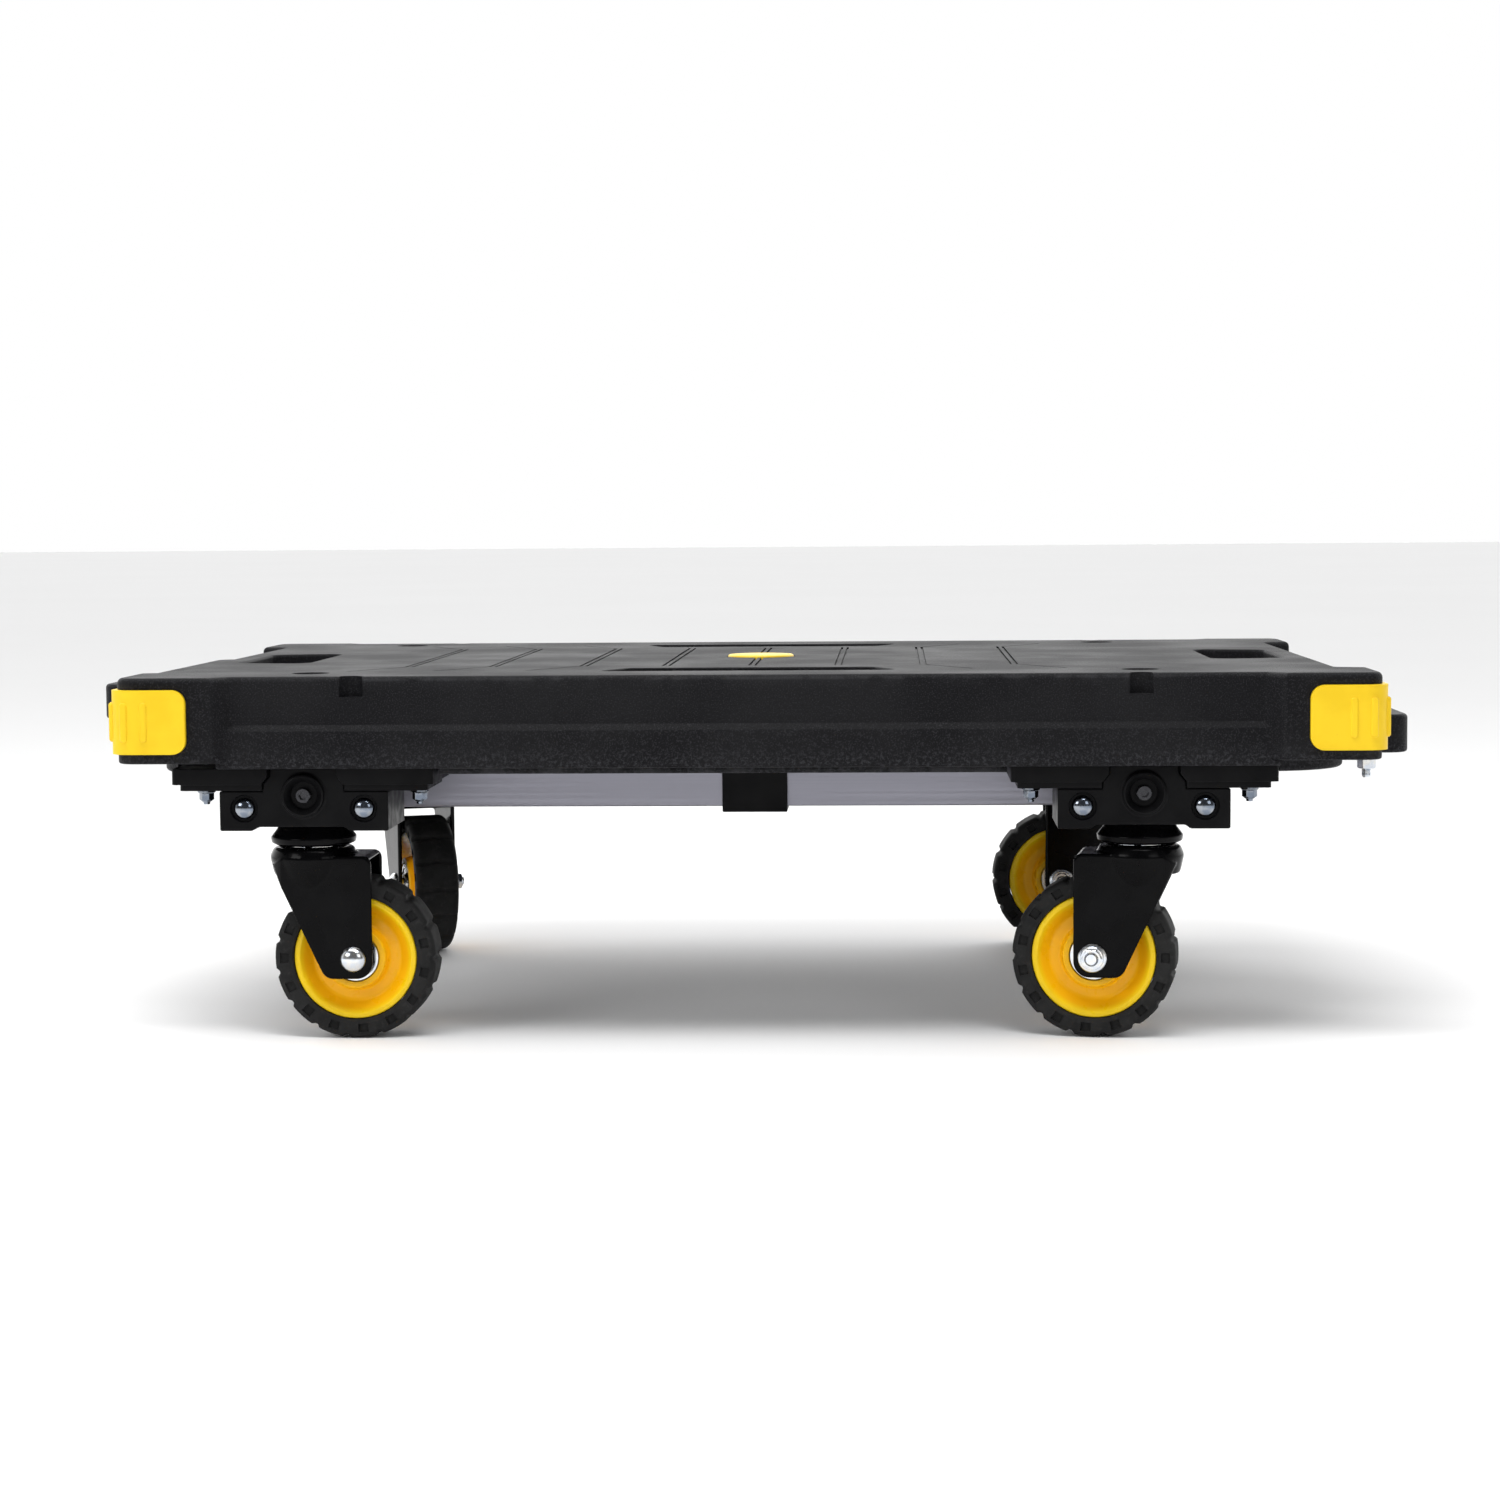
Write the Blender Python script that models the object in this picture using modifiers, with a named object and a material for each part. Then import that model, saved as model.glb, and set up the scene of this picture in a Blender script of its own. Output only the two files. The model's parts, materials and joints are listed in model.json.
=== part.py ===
"""Furniture dolly: a moulded deck on two aluminium rails, with four swivel casters.

Metres, +Z up. The origin is on the floor below the middle of the deck.
+X runs along the deck to the end with the lower link tongue; -Y is the front.
"""
import math

import bmesh
import bpy
from mathutils import Matrix, Vector

MM = 0.001
GAP = 0.3 * MM

# Deck
DECK_TOP = 225 * MM
DECK_HALF_DEPTH = 240 * MM
DECK_HALF_LENGTH = 362 * MM
DECK_SKIN = 6 * MM
WALL = 4 * MM
EDGE_ROUND = 5 * MM
SKIRT_BOTTOM = 169.3 * MM
BAND_PROUD = 3 * MM
BAND_TOP = (191 * MM, 196.5 * MM)
CORNER_START = 311 * MM
CORNER_STEP = 10.5 * MM
CORNER_HALF_LENGTH = 380 * MM
CORNER_HALF_DEPTH = 250.5 * MM
CORNER_INNER_Y = 186 * MM
CORNER_BOTTOM = 173 * MM
RIB = 3 * MM
RIB_BOTTOM = 171 * MM
CROSS_RIB_X = (-130 * MM, 0, 110 * MM)
LONG_RIB_Y = 70 * MM
LONG_RIB_REACH = 285 * MM
PAD_THICKNESS = 5 * MM
PAD_RIB = 10 * MM
NOTCH_X = 237.5 * MM
NOTCH_RADIUS = 7.25 * MM
NOTCH_DEPTH = 12.5 * MM
SLOT_X = (298 * MM, 345 * MM)
SLOT_HALF_WIDTH = 70 * MM
RECESS_HALF_LENGTH = 95 * MM
RECESS_Y = (152 * MM, 192 * MM)
RECESS_DEPTH = 3 * MM
BADGE_RADIUS = 22.25 * MM
BADGE_RISE = 1.6 * MM
BADGE_SEAT = 1.5 * MM
CAP_RADIUS = 11 * MM

# Link tongues at the two ends, a half lap
TONGUE_TIP = 409 * MM
TONGUE_HALF_WIDTH = 168 * MM
TONGUE_CORNER = 14 * MM
UPPER_TONGUE = (195 * MM, 217 * MM)
LOWER_TONGUE = (171 * MM, 194.5 * MM)
LINK_BOLT_X = 385 * MM
LINK_BOLT_Y = 148 * MM
LINK_BOLT_RADIUS = 3 * MM
LINK_NUT_FLATS = 10 * MM
LINK_HOLE_RADIUS = 7 * MM
LINK_SEAT_RADIUS = 7 * MM
LINK_SEAT_DEPTH = 0.5 * MM

# Pan below the deck
PAN_HALF_LENGTH = 366 * MM
PAN_HALF_DEPTH = 222 * MM
PAN_CORNER = 50 * MM
PAN_BOTTOM = 164 * MM
PAN_TOP = RIB_BOTTOM - GAP
PAN_SHEET = 3 * MM

# Corner bumpers
BUMPER_LENGTH = 47 * MM
BUMPER_PROUD = 3 * MM
BUMPER_RIB = 1.2 * MM
BUMPER_DEPTH = 6 * MM
BUMPER_Z = (179 * MM, 217.8 * MM)
BUMPER_ROUND = 8.5 * MM

# Rails and their saddle clips
RAIL_Y = 93 * MM
RAIL_WIDTH = 20 * MM
RAIL_BOTTOM = 132.7 * MM
RAIL_X = (-307 * MM, 277 * MM)
RAIL_WALL = 1.8 * MM
CLIP_LENGTH = 42 * MM
CLIP_WALL = 3.3 * MM

# Casters
CASTER_X = (-269.5 * MM, 240 * MM)
CASTER_Y = 199 * MM
TRAIL = 27 * MM
WHEEL_RADIUS = 50 * MM
TRAIL_ANGLES = {
    "front_left": 0.0,
    "front_right": 171.0,
    "rear_left": -69.0,
    "rear_right": 180.0,
}
PLATE_HALF_LENGTH = 80 * MM
PLATE_HALF_DEPTH = 36 * MM
PLATE_LIP = (159 * MM, 168.8 * MM)
PLATE_STEP_BOTTOM = 155 * MM
PLATE_STEP_INSET = 4 * MM
PLATE_BOLT_X = 66.5 * MM
PLATE_BOLT_RADIUS = 2.5 * MM
PLATE_NUT_FLATS = 8 * MM
PLATE_NUT_HEIGHT = 4.6 * MM
PLATE_BOLT_TOP = 208 * MM
BRACKET_HALF_LENGTH = 51.8 * MM
BRACKET_HALF_DEPTH = 31 * MM
BRACKET_FLOOR = 132.7 * MM
BRACKET_TABS = 130.3 * MM
BRACKET_WALL = 5 * MM
NECK_HALF_WIDTHS = (25 * MM, 21 * MM)
PIN_X = 36.7 * MM
PIN_Z = 144 * MM
PIN_HEAD_RADIUS = 6.5 * MM
PIN_RECESS = 2 * MM
PIN_RECESS_RADIUS = 8 * MM
RING_Z = 152 * MM
RING_RADIUS = 13 * MM
RING_PROUD = 3.5 * MM
RING_CAVITY_RADIUS = 8 * MM
KINGPIN_RADIUS = 6 * MM
FORK_HALF_WIDTH = 21.5 * MM
FORK_SHEET = 3 * MM
CROWN_TOP = 114 * MM
CROWN_RADIUS = 26.5 * MM
BALL_RADIUS = 2.6 * MM
BALL_CIRCLE = 17 * MM
BALL_Z = 119.2 * MM
BALLS = 6
AXLE_RADIUS = 4 * MM
HUB_RADIUS = 38 * MM
BEARING_RADIUS = 14.7 * MM
BEARING_WIDTH = 8 * MM
HUB_FACE = 14.5 * MM
TYRE_HALF_WIDTH = 16 * MM

TYRE_STEPS = 28
ROUND = 16
SMALL_ROUND = 10
BOLT_STEPS = 8
TINY = 0.00001
FAR = 0.2

MATERIALS = {
    "deck_black": ((0.020, 0.020, 0.022), 0.55, 0.0),
    "bracket_black": ((0.022, 0.022, 0.023), 0.6, 0.0),
    "bumper_yellow": ((0.87, 0.58, 0.02), 0.5, 0.0),
    "hub_yellow": ((0.95, 0.55, 0.01), 0.35, 0.0),
    "tyre_black": ((0.015, 0.015, 0.016), 0.7, 0.0),
    "gloss_black": ((0.012, 0.012, 0.013), 0.25, 0.3),
    "zinc_steel": ((0.62, 0.63, 0.66), 0.3, 1.0),
    "aluminium": ((0.66, 0.65, 0.70), 0.35, 1.0),
}


# ---------------------------------------------------------------- helpers

def clear_scene():
    for old in list(bpy.data.objects):
        bpy.data.objects.remove(old, do_unlink=True)


def new_collection(name):
    collection = bpy.data.collections.new(name)
    bpy.context.scene.collection.children.link(collection)
    return collection


def new_material(name):
    colour, roughness, metallic = MATERIALS[name]
    material = bpy.data.materials.new(name)
    material.use_nodes = True
    shader = material.node_tree.nodes["Principled BSDF"]
    shader.inputs["Base Color"].default_value = (*colour, 1.0)
    shader.inputs["Roughness"].default_value = roughness
    shader.inputs["Metallic"].default_value = metallic
    material.diffuse_color = (*colour, 1.0)
    return material


def link(name, data):
    """A working shape, kept among the cutters until a node takes its mesh."""
    made = bpy.data.objects.new(f"shape_{name}", data)
    cutters.objects.link(made)
    made.hide_render = True
    made.display_type = "WIRE"
    return made


def rounded(corners, segments=4):
    """An outline whose corners (x, y, radius) are turned into arcs."""
    points = []
    for index, (x, y, radius) in enumerate(corners):
        here = Vector((x, y))
        if radius <= 0:
            points.append((x, y))
            continue
        before = (Vector(corners[index - 1][:2]) - here).normalized()
        after = (Vector(corners[(index + 1) % len(corners)][:2]) - here).normalized()
        half_turn = before.angle(after) / 2
        centre = here + (before + after).normalized() * radius / math.sin(half_turn)
        first = here + before * radius / math.tan(half_turn) - centre
        sweep = first.angle_signed(here + after * radius / math.tan(half_turn) - centre)
        for step in range(segments + 1):
            spoke = Matrix.Rotation(-sweep * step / segments, 2) @ first
            points.append(tuple(centre + spoke))
    return points


def rectangle(x_low, x_high, y_low, y_high, radius=0.0):
    return rounded([(x_high, y_low, radius), (x_high, y_high, radius),
                    (x_low, y_high, radius), (x_low, y_low, radius)])


PLANES = {
    "XY": Matrix.Identity(4),
    "XZ": Matrix(((1, 0, 0, 0), (0, 0, -1, 0), (0, 1, 0, 0), (0, 0, 0, 1))),
    "YZ": Matrix(((0, 0, 1, 0), (1, 0, 0, 0), (0, 1, 0, 0), (0, 0, 0, 1))),
}


def prism(name, outline, low, high, plane="XY"):
    """A flat outline extruded from low to high along the axis that its plane leaves out."""
    curve = bpy.data.curves.new(name, "CURVE")
    curve.dimensions = "2D"
    curve.fill_mode = "BOTH"
    curve.extrude = (high - low) / 2
    spline = curve.splines.new("POLY")
    spline.points.add(len(outline) - 1)
    for point, (x, y) in zip(spline.points, outline):
        point.co = (x, y, 0, 1)
    spline.use_cyclic_u = True
    guide = link(name, curve)
    graph = bpy.context.evaluated_depsgraph_get()
    mesh = bpy.data.meshes.new_from_object(guide.evaluated_get(graph))
    bpy.data.objects.remove(guide)
    middle = (high + low) / 2 * (-1 if plane == "XZ" else 1)
    mesh.transform(PLANES[plane] @ Matrix.Translation((0, 0, middle)))
    shape = bmesh.new()
    shape.from_mesh(mesh)
    bmesh.ops.remove_doubles(shape, verts=shape.verts, dist=TINY)
    bmesh.ops.recalc_face_normals(shape, faces=shape.faces)
    shape.to_mesh(mesh)
    shape.free()
    return flat_caps(link(name, mesh))


def box(name, x, y, z):
    return prism(name, rectangle(x[0], x[1], y[0], y[1]), z[0], z[1])


def turned(name, profile, steps=ROUND, closed=True):
    """A profile of (radius, height) points turned about Z; its outer side runs downwards."""
    edges = [(i, i + 1) for i in range(len(profile) - 1)]
    if closed:
        edges.append((len(profile) - 1, 0))
    mesh = bpy.data.meshes.new(name)
    mesh.from_pydata([(radius, 0, height) for radius, height in profile], edges, [])
    piece = link(name, mesh)
    screw = piece.modifiers.new("turn", "SCREW")
    screw.steps = steps
    screw.render_steps = steps
    screw.use_merge_vertices = True
    screw.merge_threshold = TINY
    return flat_caps(baked(piece))


def flat_caps(piece):
    """Join the triangles of flat ends into single faces."""
    shape = bmesh.new()
    shape.from_mesh(piece.data)
    bmesh.ops.dissolve_limit(shape, angle_limit=math.radians(0.5), verts=shape.verts, edges=shape.edges)
    shape.to_mesh(piece.data)
    shape.free()
    return piece


def cylinder(name, radius, low, high, steps=ROUND):
    return turned(name, [(0, high), (radius, high), (radius, low), (0, low)], steps, closed=False)


def hexagon(name, flats, low, high):
    return cylinder(name, flats / math.sqrt(3), low, high, steps=6)


def baked(piece):
    """Replace a piece's mesh by its evaluated mesh, so that copies can share it."""
    graph = bpy.context.evaluated_depsgraph_get()
    mesh = bpy.data.meshes.new_from_object(piece.evaluated_get(graph))
    piece.modifiers.clear()
    piece.data = mesh
    return piece


def moved(piece, matrix):
    piece.data.transform(matrix)
    return piece


def shifted(piece, x=0.0, y=0.0, z=0.0):
    return moved(piece, Matrix.Translation((x, y, z)))


def along_y(piece):
    """Lay a piece made along Z down, so that its +Z end points to -Y."""
    return moved(piece, Matrix.Rotation(math.pi / 2, 4, "X"))


def combine(piece, operation, *others, solver="EXACT"):
    for other in others:
        modifier = piece.modifiers.new(other.name, "BOOLEAN")
        modifier.operation = operation
        modifier.solver = solver
        modifier.object = other
    return baked(piece)


def rounded_top(piece, radius, segments=2):
    """Round the edges of a prism's top face."""
    shape = bmesh.new()
    shape.from_mesh(piece.data)
    top = max(vertex.co.z for vertex in shape.verts)
    rim = [edge for edge in shape.edges
           if all(abs(v.co.z - top) < TINY for v in edge.verts)
           and any(abs(face.normal.z) < 0.5 for face in edge.link_faces)]
    bmesh.ops.bevel(shape, geom=rim, offset=radius, segments=segments, profile=0.5, affect="EDGES")
    shape.to_mesh(piece.data)
    shape.free()
    return piece


def four_ways(make):
    """Call make(x sign, y sign) for the four quarters and return what it makes."""
    return [make(x_sign, y_sign) for x_sign in (-1, 1) for y_sign in (-1, 1)]


def finish(name, shape, material, parent=None):
    """Turn a working shape into a named node of the dolly."""
    if not shape.data.materials:
        shape.data.materials.append(materials[material])
        shape.data.shade_smooth()
        shape.data.set_sharp_from_angle(angle=math.radians(35))
    made = bpy.data.objects.new(name, shape.data)
    dolly.objects.link(made)
    made.parent = parent
    return made


# ---------------------------------------------------------------- deck

def deck_outline(inset=0.0):
    """The plan outline of the deck, moved inwards by an inset."""
    side = CORNER_START + CORNER_STEP
    jog = 6 * MM
    quarter = [
        (CORNER_START - inset, DECK_HALF_DEPTH - inset, 4 * MM),
        (side - inset, CORNER_HALF_DEPTH - inset, 4 * MM),
        (CORNER_HALF_LENGTH - inset, CORNER_HALF_DEPTH - inset, max(12 * MM - inset, 6 * MM)),
        (CORNER_HALF_LENGTH - inset, CORNER_INNER_Y + inset, 4 * MM),
        (DECK_HALF_LENGTH - inset, CORNER_INNER_Y - jog + inset, 4 * MM),
    ]
    if inset:
        quarter[0] = (CORNER_START + inset, DECK_HALF_DEPTH - inset, 3 * MM)
        quarter[1] = (side + inset, CORNER_HALF_DEPTH - inset, 3 * MM)
        quarter[4] = (DECK_HALF_LENGTH - inset, CORNER_INNER_Y - jog + inset, 3 * MM)
    backwards = list(reversed(quarter))
    corners = list(backwards)
    corners += [(-x, y, r) for x, y, r in quarter]
    corners += [(-x, -y, r) for x, y, r in backwards]
    corners += [(x, -y, r) for x, y, r in quarter]
    return rounded(corners, segments=3)


def slot_outline(sign, margin=0.0):
    """A hand slot: a trapezoid, wider on its inner side."""
    inner, outer = SLOT_X[0] - margin, SLOT_X[1] + margin
    half = SLOT_HALF_WIDTH + margin
    taper = 10 * MM
    radius = 10 * MM + margin
    corners = [(outer, -half + taper, radius), (outer, half - taper, radius),
               (inner, half, radius), (inner, -half, radius)]
    if sign < 0:
        corners = [(-x, y, r) for x, y, r in reversed(corners)]
    return rounded(corners, segments=3)


def tongue(name, sign, heights):
    half, tip = TONGUE_HALF_WIDTH, sign * TONGUE_TIP
    root = sign * (DECK_HALF_LENGTH - WALL / 2)
    corners = [(tip, -half, TONGUE_CORNER), (tip, half, TONGUE_CORNER), (root, half, 0), (root, -half, 0)]
    if sign < 0:
        corners.reverse()
    return prism(name, rounded(corners), *heights)


def bumper_outline(margin=0.0):
    """Plan outline of a corner bumper in the +X +Y quarter."""
    out_x = CORNER_HALF_LENGTH + BUMPER_PROUD + margin
    out_y = CORNER_HALF_DEPTH + BUMPER_PROUD + margin
    in_x = CORNER_HALF_LENGTH + BUMPER_PROUD - BUMPER_DEPTH - margin
    in_y = CORNER_HALF_DEPTH + BUMPER_PROUD - BUMPER_DEPTH - margin
    end_x = CORNER_HALF_LENGTH + BUMPER_PROUD - BUMPER_LENGTH - margin
    end_y = CORNER_HALF_DEPTH + BUMPER_PROUD - BUMPER_LENGTH - margin
    return rounded([(out_x, end_y, 1.5 * MM), (out_x, out_y, 13 * MM), (end_x, out_y, 1.5 * MM),
                    (end_x, in_y, 0), (in_x, in_y, 6 * MM), (in_x, end_y, 0)])


def bumper_window(margin=0.0):
    """The bumper's rounded face, as seen square to its end or its side."""
    low, high = BUMPER_Z[0] - margin, BUMPER_Z[1] + margin
    start_x = CORNER_HALF_LENGTH + BUMPER_PROUD - BUMPER_LENGTH - margin
    start_y = CORNER_HALF_DEPTH + BUMPER_PROUD - BUMPER_LENGTH - margin
    far = CORNER_HALF_LENGTH + FAR
    radius = BUMPER_ROUND + margin

    def face(start):
        return rounded([(far, low, 0), (far, high, 0), (start, high, radius), (start, low, radius)])

    front = prism("bumper_front_window", face(start_x), -FAR * 2, FAR * 2, "XZ")
    side = prism("bumper_side_window", face(start_y), 0, FAR * 3, "YZ")
    return front, side


def bumper_shape(margin=0.0):
    body = prism("bumper_body", bumper_outline(margin), BUMPER_Z[0] - margin, BUMPER_Z[1] + margin)
    return combine(body, "INTERSECT", *bumper_window(margin))


def bumper_ribs():
    """Two upright ribs on each face of a bumper, near its corner."""
    middle = (BUMPER_Z[0] + BUMPER_Z[1]) / 2
    half_height = 12 * MM
    width, base = 4.4 * MM, 2.5 * MM
    heights = (middle - half_height, middle + half_height)
    out_x = CORNER_HALF_LENGTH + BUMPER_PROUD
    out_y = CORNER_HALF_DEPTH + BUMPER_PROUD
    ribs = []
    for start in (7.3 * MM, 19.5 * MM):
        far_x, far_y = out_x - start, out_y - start
        ribs.append(box("bumper_rib", (far_x - width, far_x), (out_y - base, out_y + BUMPER_RIB), heights))
        ribs.append(box("bumper_rib", (out_x - base, out_x + BUMPER_RIB), (far_y - width, far_y), heights))
    return ribs


def recess_outline(sign):
    near, far = RECESS_Y[0] * sign, RECESS_Y[1] * sign
    half, slant, radius = RECESS_HALF_LENGTH, 17 * MM, 6 * MM
    corners = [(half, far, radius), (-half, far, radius), (slant - half, near, radius), (half - slant, near, radius)]
    if sign < 0:
        corners.reverse()
    return rounded(corners, segments=3)


def caster_spots():
    """Name, kingpin x and y, and the sign of y for each caster."""
    for side_name, y_sign in (("front", -1), ("rear", 1)):
        for end_name, x in (("left", CASTER_X[0]), ("right", CASTER_X[1])):
            yield f"{side_name}_{end_name}", x, y_sign * CASTER_Y, y_sign


def deck_ribs():
    """Ribs under the deck skin, with a pad on two thick ribs over each mounting plate."""
    heights = (RIB_BOTTOM, DECK_TOP - DECK_SKIN + MM)
    ribs = []
    reach_y = DECK_HALF_DEPTH - WALL / 2
    for x in CROSS_RIB_X:
        ribs.append(box("cross_rib", (x - RIB / 2, x + RIB / 2), (-reach_y, reach_y), heights))
    for y in (-LONG_RIB_Y, LONG_RIB_Y):
        ribs.append(box("long_rib", (-LONG_RIB_REACH, LONG_RIB_REACH), (y - RIB / 2, y + RIB / 2), heights))
    for name, x, y, y_sign in caster_spots():
        pad_low = PLATE_LIP[1] + GAP
        ribs.append(box("plate_pad", (x - PLATE_HALF_LENGTH, x + PLATE_HALF_LENGTH),
                        (y - PLATE_HALF_DEPTH, y + PLATE_HALF_DEPTH), (pad_low, pad_low + PAD_THICKNESS)))
        for offset in (-PLATE_BOLT_X, PLATE_BOLT_X):
            half = PAD_RIB / 2
            ribs.append(box("pad_rib", (x + offset - half, x + offset + half),
                            (y - PLATE_HALF_DEPTH + 2 * MM, y + PLATE_HALF_DEPTH - 2 * MM),
                            (pad_low + MM, DECK_TOP - DECK_SKIN + MM)))
    return ribs


def plate_bolt_spots():
    for name, x, y, y_sign in caster_spots():
        for bolt_sign in (-1, 1):
            yield x + bolt_sign * PLATE_BOLT_X, y


def make_deck_shell():
    shell = rounded_top(prism("deck_shell", deck_outline(), CORNER_BOTTOM, DECK_TOP), EDGE_ROUND)
    reach = DECK_HALF_DEPTH
    band = prism("ledge_band", [
        (-reach - BAND_PROUD, SKIRT_BOTTOM), (reach + BAND_PROUD, SKIRT_BOTTOM),
        (reach + BAND_PROUD, BAND_TOP[0]), (reach - MM, BAND_TOP[1] + MM),
        (-reach + MM, BAND_TOP[1] + MM), (-reach - BAND_PROUD, BAND_TOP[0]),
    ], -CORNER_START - 2 * MM, CORNER_START + 2 * MM, "YZ")
    combine(shell, "UNION", band)

    cavity = prism("deck_cavity", deck_outline(WALL), SKIRT_BOTTOM - 10 * MM, DECK_TOP - DECK_SKIN)
    combine(shell, "DIFFERENCE", cavity)
    bosses = four_ways(lambda x_sign, y_sign: shifted(
        cylinder("notch_boss", NOTCH_RADIUS + WALL, DECK_TOP - NOTCH_DEPTH - WALL, DECK_TOP - DECK_SKIN + MM),
        x_sign * NOTCH_X, y_sign * (DECK_HALF_DEPTH - MM)))
    outside = prism("outside_trim", deck_outline(MM), 0, FAR * 2)
    for boss in bosses:
        combine(boss, "INTERSECT", outside)
    sleeves = [prism("slot_sleeve", slot_outline(sign, WALL), RIB_BOTTOM, DECK_TOP - WALL / 2)
               for sign in (-1, 1)]
    combine(shell, "UNION", *deck_ribs(), *bosses, *sleeves)
    combine(shell, "UNION", tongue("upper_tongue", -1, UPPER_TONGUE), tongue("lower_tongue", 1, LOWER_TONGUE))

    cuts = [prism("slot_cut", slot_outline(sign), 0, FAR * 2) for sign in (-1, 1)]
    cuts += four_ways(lambda x_sign, y_sign: shifted(
        cylinder("notch_cut", NOTCH_RADIUS, DECK_TOP - NOTCH_DEPTH, DECK_TOP + WALL, 16),
        x_sign * NOTCH_X, y_sign * DECK_HALF_DEPTH))
    cuts += [prism("long_recess", recess_outline(sign), DECK_TOP - RECESS_DEPTH, DECK_TOP + WALL)
             for sign in (-1, 1)]
    cap_heights = (DECK_TOP - RECESS_DEPTH, DECK_TOP + WALL)
    cuts += [shifted(cylinder("cap_recess", CAP_RADIUS, *cap_heights, SMALL_ROUND), x, y)
             for name, x, y, y_sign in caster_spots()]
    cuts.append(cylinder("badge_seat", BADGE_RADIUS + MM, DECK_TOP - BADGE_SEAT - GAP, DECK_TOP + WALL))
    bolt_reach = (0, PLATE_BOLT_TOP + MM)
    cuts += [shifted(cylinder("bolt_hole", PLATE_BOLT_RADIUS + 2 * GAP, *bolt_reach, BOLT_STEPS), x, y)
             for x, y in plate_bolt_spots()]
    seat_heights = (LOWER_TONGUE[1] - LINK_SEAT_DEPTH, LOWER_TONGUE[1] + WALL)
    for y in (-LINK_BOLT_Y, LINK_BOLT_Y):
        for x, radius in ((LINK_BOLT_X, LINK_BOLT_RADIUS + GAP), (-LINK_BOLT_X, LINK_HOLE_RADIUS)):
            cuts.append(shifted(cylinder("link_hole", radius, 0, FAR * 2, SMALL_ROUND), x, y))
        cuts.append(shifted(cylinder("link_seat", LINK_SEAT_RADIUS, *seat_heights, SMALL_ROUND), LINK_BOLT_X, y))
    cuts += four_ways(lambda x_sign, y_sign: mirrored(bumper_shape(GAP), x_sign, y_sign))
    combine(shell, "DIFFERENCE", *cuts, solver="MANIFOLD")
    finish("deck_shell", shell, "deck_black")


def mirrored(piece, x_sign, y_sign):
    """Mirror a shape of the +X +Y quarter into another quarter."""
    moved(piece, Matrix.Diagonal((x_sign, y_sign, 1, 1)))
    if x_sign * y_sign < 0:
        piece.data.flip_normals()
    return piece


def make_bumpers():
    for end_name, x_sign in (("left", -1), ("right", 1)):
        for side_name, y_sign in (("front", -1), ("rear", 1)):
            body = combine(bumper_shape(), "UNION", *bumper_ribs())
            finish(f"bumper_{side_name}_{end_name}", mirrored(body, x_sign, y_sign), "bumper_yellow")


def make_pan():
    """A shallow pan with a rim, open around the mounting plates and the hand slots."""
    length, depth = PAN_HALF_LENGTH, PAN_HALF_DEPTH
    pan = prism("deck_underpan", rectangle(-length, length, -depth, depth, PAN_CORNER), PAN_BOTTOM, PAN_TOP)
    inner = rectangle(WALL - length, length - WALL, WALL - depth, depth - WALL, PAN_CORNER - WALL)
    hollow = prism("pan_hollow", inner, PAN_BOTTOM + PAN_SHEET, PAN_TOP + WALL)
    sleeves = [prism("pan_sleeve", slot_outline(sign, WALL), PAN_BOTTOM, PAN_TOP) for sign in (-1, 1)]
    cuts = [prism("pan_slot", slot_outline(sign), 0, FAR * 2) for sign in (-1, 1)]
    clear = 2 * MM
    for name, x, y, y_sign in caster_spots():
        sides = (x - PLATE_HALF_LENGTH - clear, x + PLATE_HALF_LENGTH + clear)
        ends = sorted((y - y_sign * (PLATE_HALF_DEPTH + clear), y + y_sign * FAR))
        cuts.append(box("plate_opening", sides, ends, (0, FAR * 2)))
    combine(pan, "DIFFERENCE", hollow)
    combine(pan, "UNION", *sleeves)
    combine(pan, "DIFFERENCE", *cuts)
    finish("deck_underpan", pan, "deck_black")


def make_badge():
    top, low = DECK_TOP + BADGE_RISE, DECK_TOP - BADGE_SEAT
    badge = turned("centre_badge", [(0, top), (BADGE_RADIUS - 1.5 * MM, top), (BADGE_RADIUS, top - 1.2 * MM),
                                    (BADGE_RADIUS, low), (0, low)], closed=False)
    finish("centre_badge", badge, "bumper_yellow")


def make_link_bolts():
    """Two bolts stand in the lower tongue; their round heads locate the tongue of a second dolly."""
    top = LOWER_TONGUE[1] - LINK_SEAT_DEPTH + GAP
    end = LOWER_TONGUE[0] - 17 * MM
    nut_top = LOWER_TONGUE[0] - GAP
    head = [(0, top + 5 * MM), (4 * MM, top + 4.2 * MM), (6 * MM, top + 2 * MM), (6 * MM, top),
            (LINK_BOLT_RADIUS, top), (LINK_BOLT_RADIUS, end), (0, end)]
    bolt = turned("link_bolt", head, SMALL_ROUND, closed=False)
    thread, flange_low = LINK_BOLT_RADIUS + GAP, nut_top - 1.2 * MM
    flange = turned("link_flange", [(7 * MM, nut_top), (7 * MM, flange_low), (thread, flange_low),
                                    (thread, nut_top)], SMALL_ROUND)
    nut = combine(hexagon("link_nut", LINK_NUT_FLATS, nut_top - 11 * MM, nut_top - MM), "DIFFERENCE",
                  cylinder("link_thread", thread, 0, FAR * 2, SMALL_ROUND))
    combine(nut, "UNION", flange)
    for side_name, y_sign in (("front", -1), ("rear", 1)):
        for name, shape in (("link_bolt", bolt), ("link_nut", nut)):
            made = finish(f"{name}_{side_name}", shape, "zinc_steel")
            made.location = (LINK_BOLT_X, y_sign * LINK_BOLT_Y, 0)


# ---------------------------------------------------------------- rails

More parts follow.
